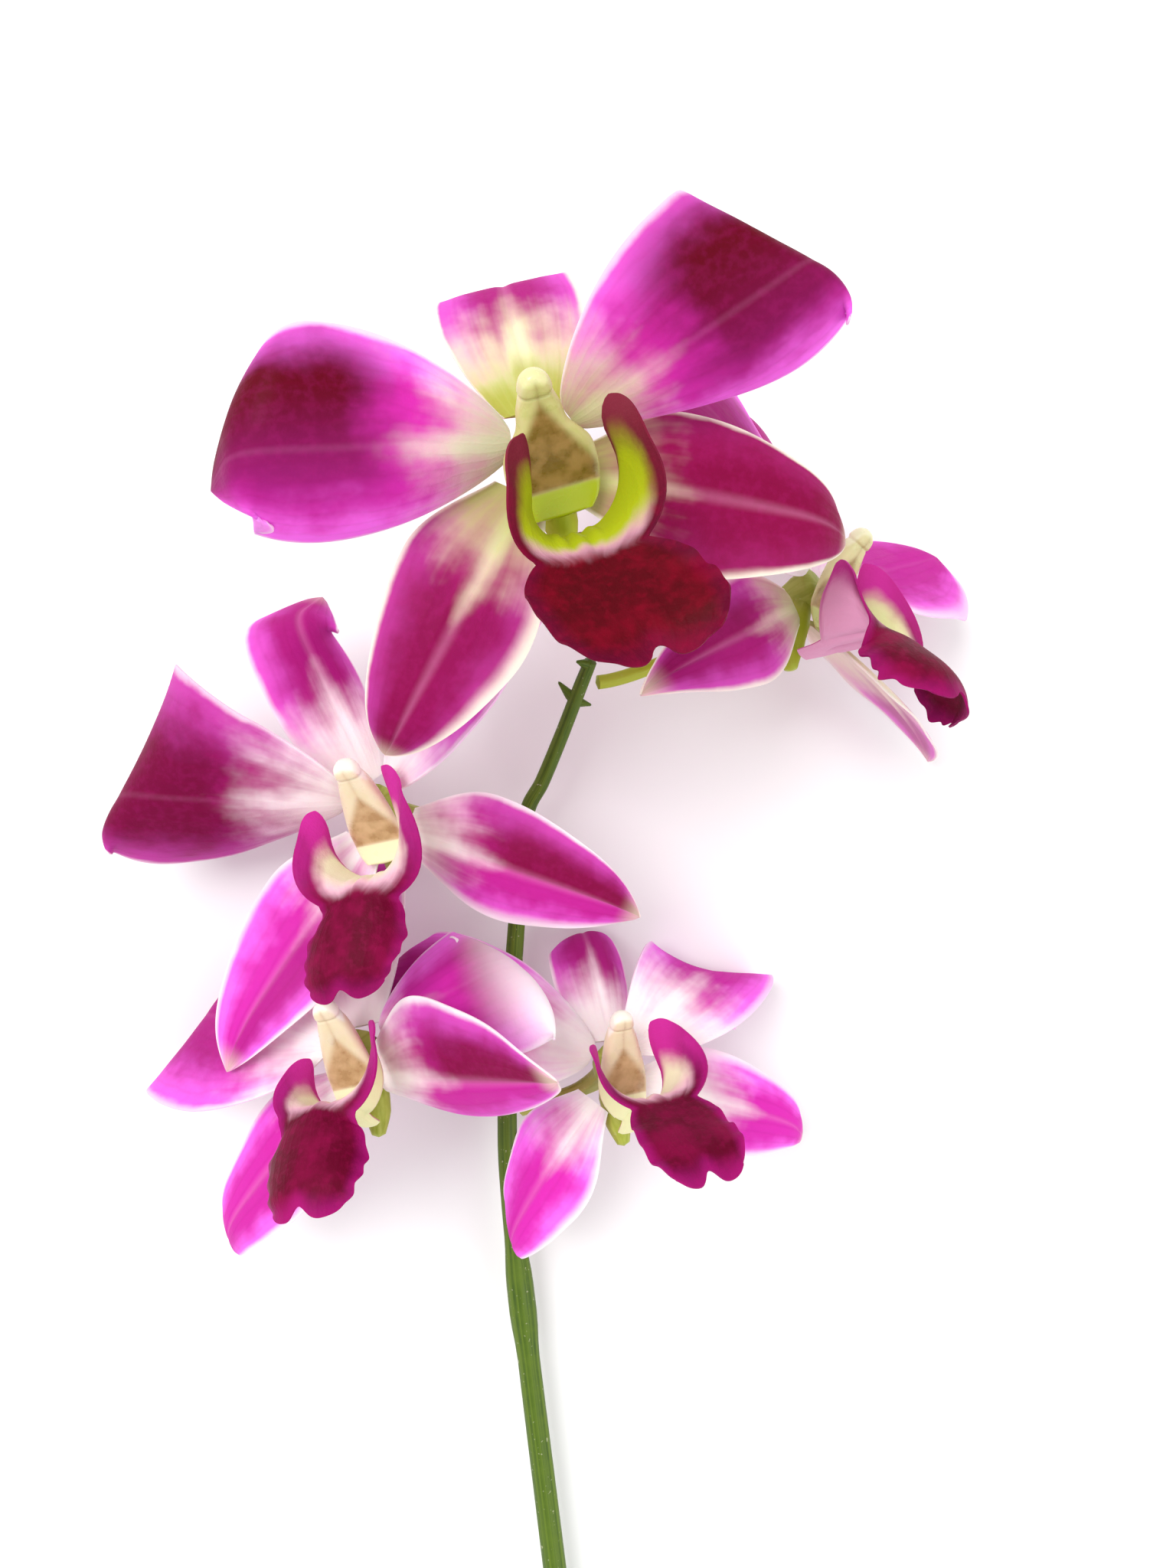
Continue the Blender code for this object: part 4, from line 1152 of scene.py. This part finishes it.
BLOOM_5 = dict(
    name="bloom_5", at=(4.0, -41.5, 24.0), turn=(16, -28, -8), size=0.95, node=(-13.0, -53.0, 10.0),
    leaves=(0.8, 0.35, 0.45), off=2.6, bract_at=(-13.0, -56.5, 9.8), bract=(0.3, -0.1, 0),
    dorsal_sepal=dict(azimuth=7, length=30.5, width=14.5, lift=1, bow=47, fold=126, fold_at=0.74,
                      curl=(30, 51), skew=-17, roll=7, twist=-1),
    petal_left=dict(azimuth=58, length=41.5, width=29.5, bow=27, fold=85, curl=(46, 43),
                    skew=-9, roll=4, twist=4, blunt=0.79),
    petal_right=dict(azimuth=60, length=40, width=22, bow=100, fold=170, fold_at=0.69,
                     curl=(-33, -7), skew=-24, twist=-28, blunt=0.98, radius=3.6, depth=0.2),
    lateral_sepal_left=dict(azimuth=128, length=34.5, width=17, lift=-19, bow=68, fold=39, fold_at=0.77,
                            curl=(42, 17), skew=21, roll=-2, twist=19, radius=1.0),
    lateral_sepal_right=dict(azimuth=111, length=37, width=18, lift=4, bow=34, fold=39, curl=(18, 45),
                             skew=-3, roll=7, twist=6),
    lip=dict(length=37, root_front=-3, rise=-4, droop=46, knee=0.45, tip=27, wall=(14.5, 17), waist=5,
             blade=7, floor=(9, 10.5), wall_bend=94, flare=(8, 19), blade_bend=0, bend=-0.5),
)


# How each kind looks, and each piece where it differs: how bright it is, how deep its dark zone gets
# and how far that spreads sideways, how cream it is, how far the pale base reaches, how wide the pale
# margins are and how pale the tip is. A pair is for its left and right halves; where a pair's bright,
# deep and spread differ, the darker half carries painted shade where it curls away from the light.
LOOK = {
    "dorsal": dict(bright=0.55, cream=0.1, deep=0.3, spread=0.66, pale=0.28, margin=0.12, tip=0.3),
    "petal": dict(bright=0.7, cream=0.1, deep=0.6, spread=0.66, pale=0.20, margin=0.08, tip=0),
    "lateral": dict(bright=0.55, cream=0.1, deep=0.4, spread=0.66, pale=0.14, margin=0.16, tip=0.6),
    "lip": dict(bright=0.8, green=0.15, rim=0.6, pink_side=0),
    "bloom_1_dorsal_sepal": dict(bright=0.5, cream=1.0, pale=0.30, margin=(0.05, 0.1), tip=0.2),
    "bloom_1_petal_left": dict(bright=(1.0, 0.85), cream=0.55, deep=(0.6, 1), pale=0.14, spread=(0.4, 0.85)),
    "bloom_1_petal_right": dict(bright=(0.6, 0.9), cream=0.75, deep=(1, 0.8), pale=0.10, spread=(0.85, 0.5)),
    "bloom_1_lateral_sepal_left": dict(bright=0.2, cream=0.9, deep=(0.5, 0.65), margin=(0.30, 0.10)),
    "bloom_1_lateral_sepal_right": dict(bright=0.05, cream=0.9, deep=(0.7, 0.4), pale=0.10,
                                        margin=(0.08, 0.16)),
    "bloom_1_lip": dict(bright=0.0, green=1.0, rim=0.1),
    "bloom_2_petal_right": dict(deep=0.1, margin=(0.15, 0.3)),
    "bloom_2_lateral_sepal_left": dict(bright=0.4, cream=0.7, deep=(0.2, 0.6)),
    "bloom_2_lateral_sepal_right": dict(cream=0.8, pale=0.5, bright=0.6),
    "bloom_2_lip": dict(bright=0.7, green=0.5, rim=0.5, pink_side=0.9),
    "bloom_3_petal_left": dict(bright=0.3, deep=0.8),
    "bloom_3_lateral_sepal_left": dict(bright=0.9, deep=(0.4, 0.0)),
    "bloom_3_lateral_sepal_right": dict(bright=(0.35, 0.65), deep=(0.9, 0.1), margin=(0.1, 0.34)),
    "bloom_3_lip": dict(rim=0.5),
    "bloom_4_petal_left": dict(deep=0.4),
    "bloom_4_petal_right": dict(bright=0.95, deep=(0.8, 0.5), pale=0.0, tip=1.0),
    "bloom_4_lateral_sepal_left": dict(bright=0.85, deep=(0.1, 0.0)),
    "bloom_4_lateral_sepal_right": dict(bright=(0.4, 0.65), deep=(0.9, 0.0), margin=(0.12, 0.34)),
    "bloom_4_lip": dict(rim=0.7),
    "bloom_5_petal_left": dict(bright=0.95, deep=0.45, pale=0.22, margin=0.1),
    "bloom_5_petal_right": dict(bright=0.95, deep=0.2, pale=0.32, margin=(0.1, 0.15)),
    "bloom_5_lateral_sepal_left": dict(bright=1.0, deep=(0.0, 0.1), margin=(0.25, 0.08)),
    "bloom_5_lateral_sepal_right": dict(bright=1.0, deep=0.0, pale=0.34, margin=(0.25, 0.3)),
    "bloom_5_lip": dict(rim=0.7),
}


def bloom_turn(bloom):
    yaw, pitch, spin = bloom["turn"]
    return Euler((radians(pitch), radians(yaw), radians(-spin)), "ZXY")


def build_bloom(bloom):
    turn = bloom_turn(bloom).to_matrix().to_4x4()
    bloom["place"] = SPRAY @ Matrix.Translation(Vector(bloom["at"]) * MM) @ turn
    stalk(bloom)
    column(bloom)
    dorsal_sepal(bloom)
    for hand, side in (("left", -1), ("right", 1)):
        petal(bloom, hand, side)
        lateral_sepal(bloom, hand, side)
    lip(bloom)


# Table, light and camera, whose places are in metres

TABLE_REACH = 3


def floor_finish():
    made, tree, shader = new_finish("table_white")
    place = object_place(tree)
    cloud = noise(tree, place, 6.0, 3.0)
    colour = mixed(tree, rises(tree, cloud, 0.3, 0.7), (0.93, 0.93, 0.93), (0.96, 0.96, 0.955))
    feed(tree, shader.inputs["Base Color"], colour)
    feed(tree, shader.inputs["Roughness"], rises(tree, cloud, 0.3, 0.7, 0.75, 0.85))
    bumped(tree, shader, noise(tree, place, 900.0, 2.0), 0.02, 0.3)
    shader.inputs["Specular IOR Level"].default_value = 0.2
    return made


def table():
    made = new_grid("table", 12, 12)[0]
    set_points(made, points_of(made) * TABLE_REACH)
    made.data.materials.append(floor_finish())


def softbox(name, place, target, size, power):
    lamp = bpy.data.lights.new(name, "AREA")
    lamp.shape = "DISK"
    lamp.size = size
    lamp.energy = power
    made = bpy.data.objects.new(name, lamp)
    bpy.context.scene.collection.objects.link(made)
    made.location = place
    made.rotation_euler = (Vector(target) - Vector(place)).to_track_quat("-Z", "Y").to_euler()


def studio():
    softbox("key", (-0.5, 0.45, 1.0), (0, 0.05, 0.03), size=0.7, power=9.0)
    softbox("fill", (0.8, -0.3, 0.8), (0, 0.0, 0.03), size=1.0, power=4.0)
    world = bpy.data.worlds.new("studio")
    world.use_nodes = True
    sky = world.node_tree.nodes["Background"].inputs
    sky["Color"].default_value = (1.0, 1.0, 1.0, 1.0)
    sky["Strength"].default_value = 0.8
    bpy.context.scene.world = world
    bpy.context.scene.view_settings.view_transform = "Standard"


def camera():
    lens = bpy.data.cameras.new("camera")
    lens.sensor_fit = "AUTO"
    lens.angle = radians(CAMERA_ANGLE)
    lens.clip_start = 0.005
    made = bpy.data.objects.new("camera", lens)
    bpy.context.scene.collection.objects.link(made)
    made.matrix_world = SPRAY @ Matrix.Translation((0, 0, CAMERA_HEIGHT * MM))
    bpy.context.scene.camera = made


GROUP = {"flesh": flesh_group(), "zones": zone_group()}
FINISH = {
    "stem": stem_finish(),
    "stalk": stalk_finish(),
    "sepal": sepal_finish(),
    "petal": petal_finish(),
    "lip": lip_finish(),
    "column": column_finish(),
}
camera()
studio()
table()
blooms = (BLOOM_1, BLOOM_2, BLOOM_3, BLOOM_4, BLOOM_5)
flower_stem(blooms)
for one in blooms:
    build_bloom(one)
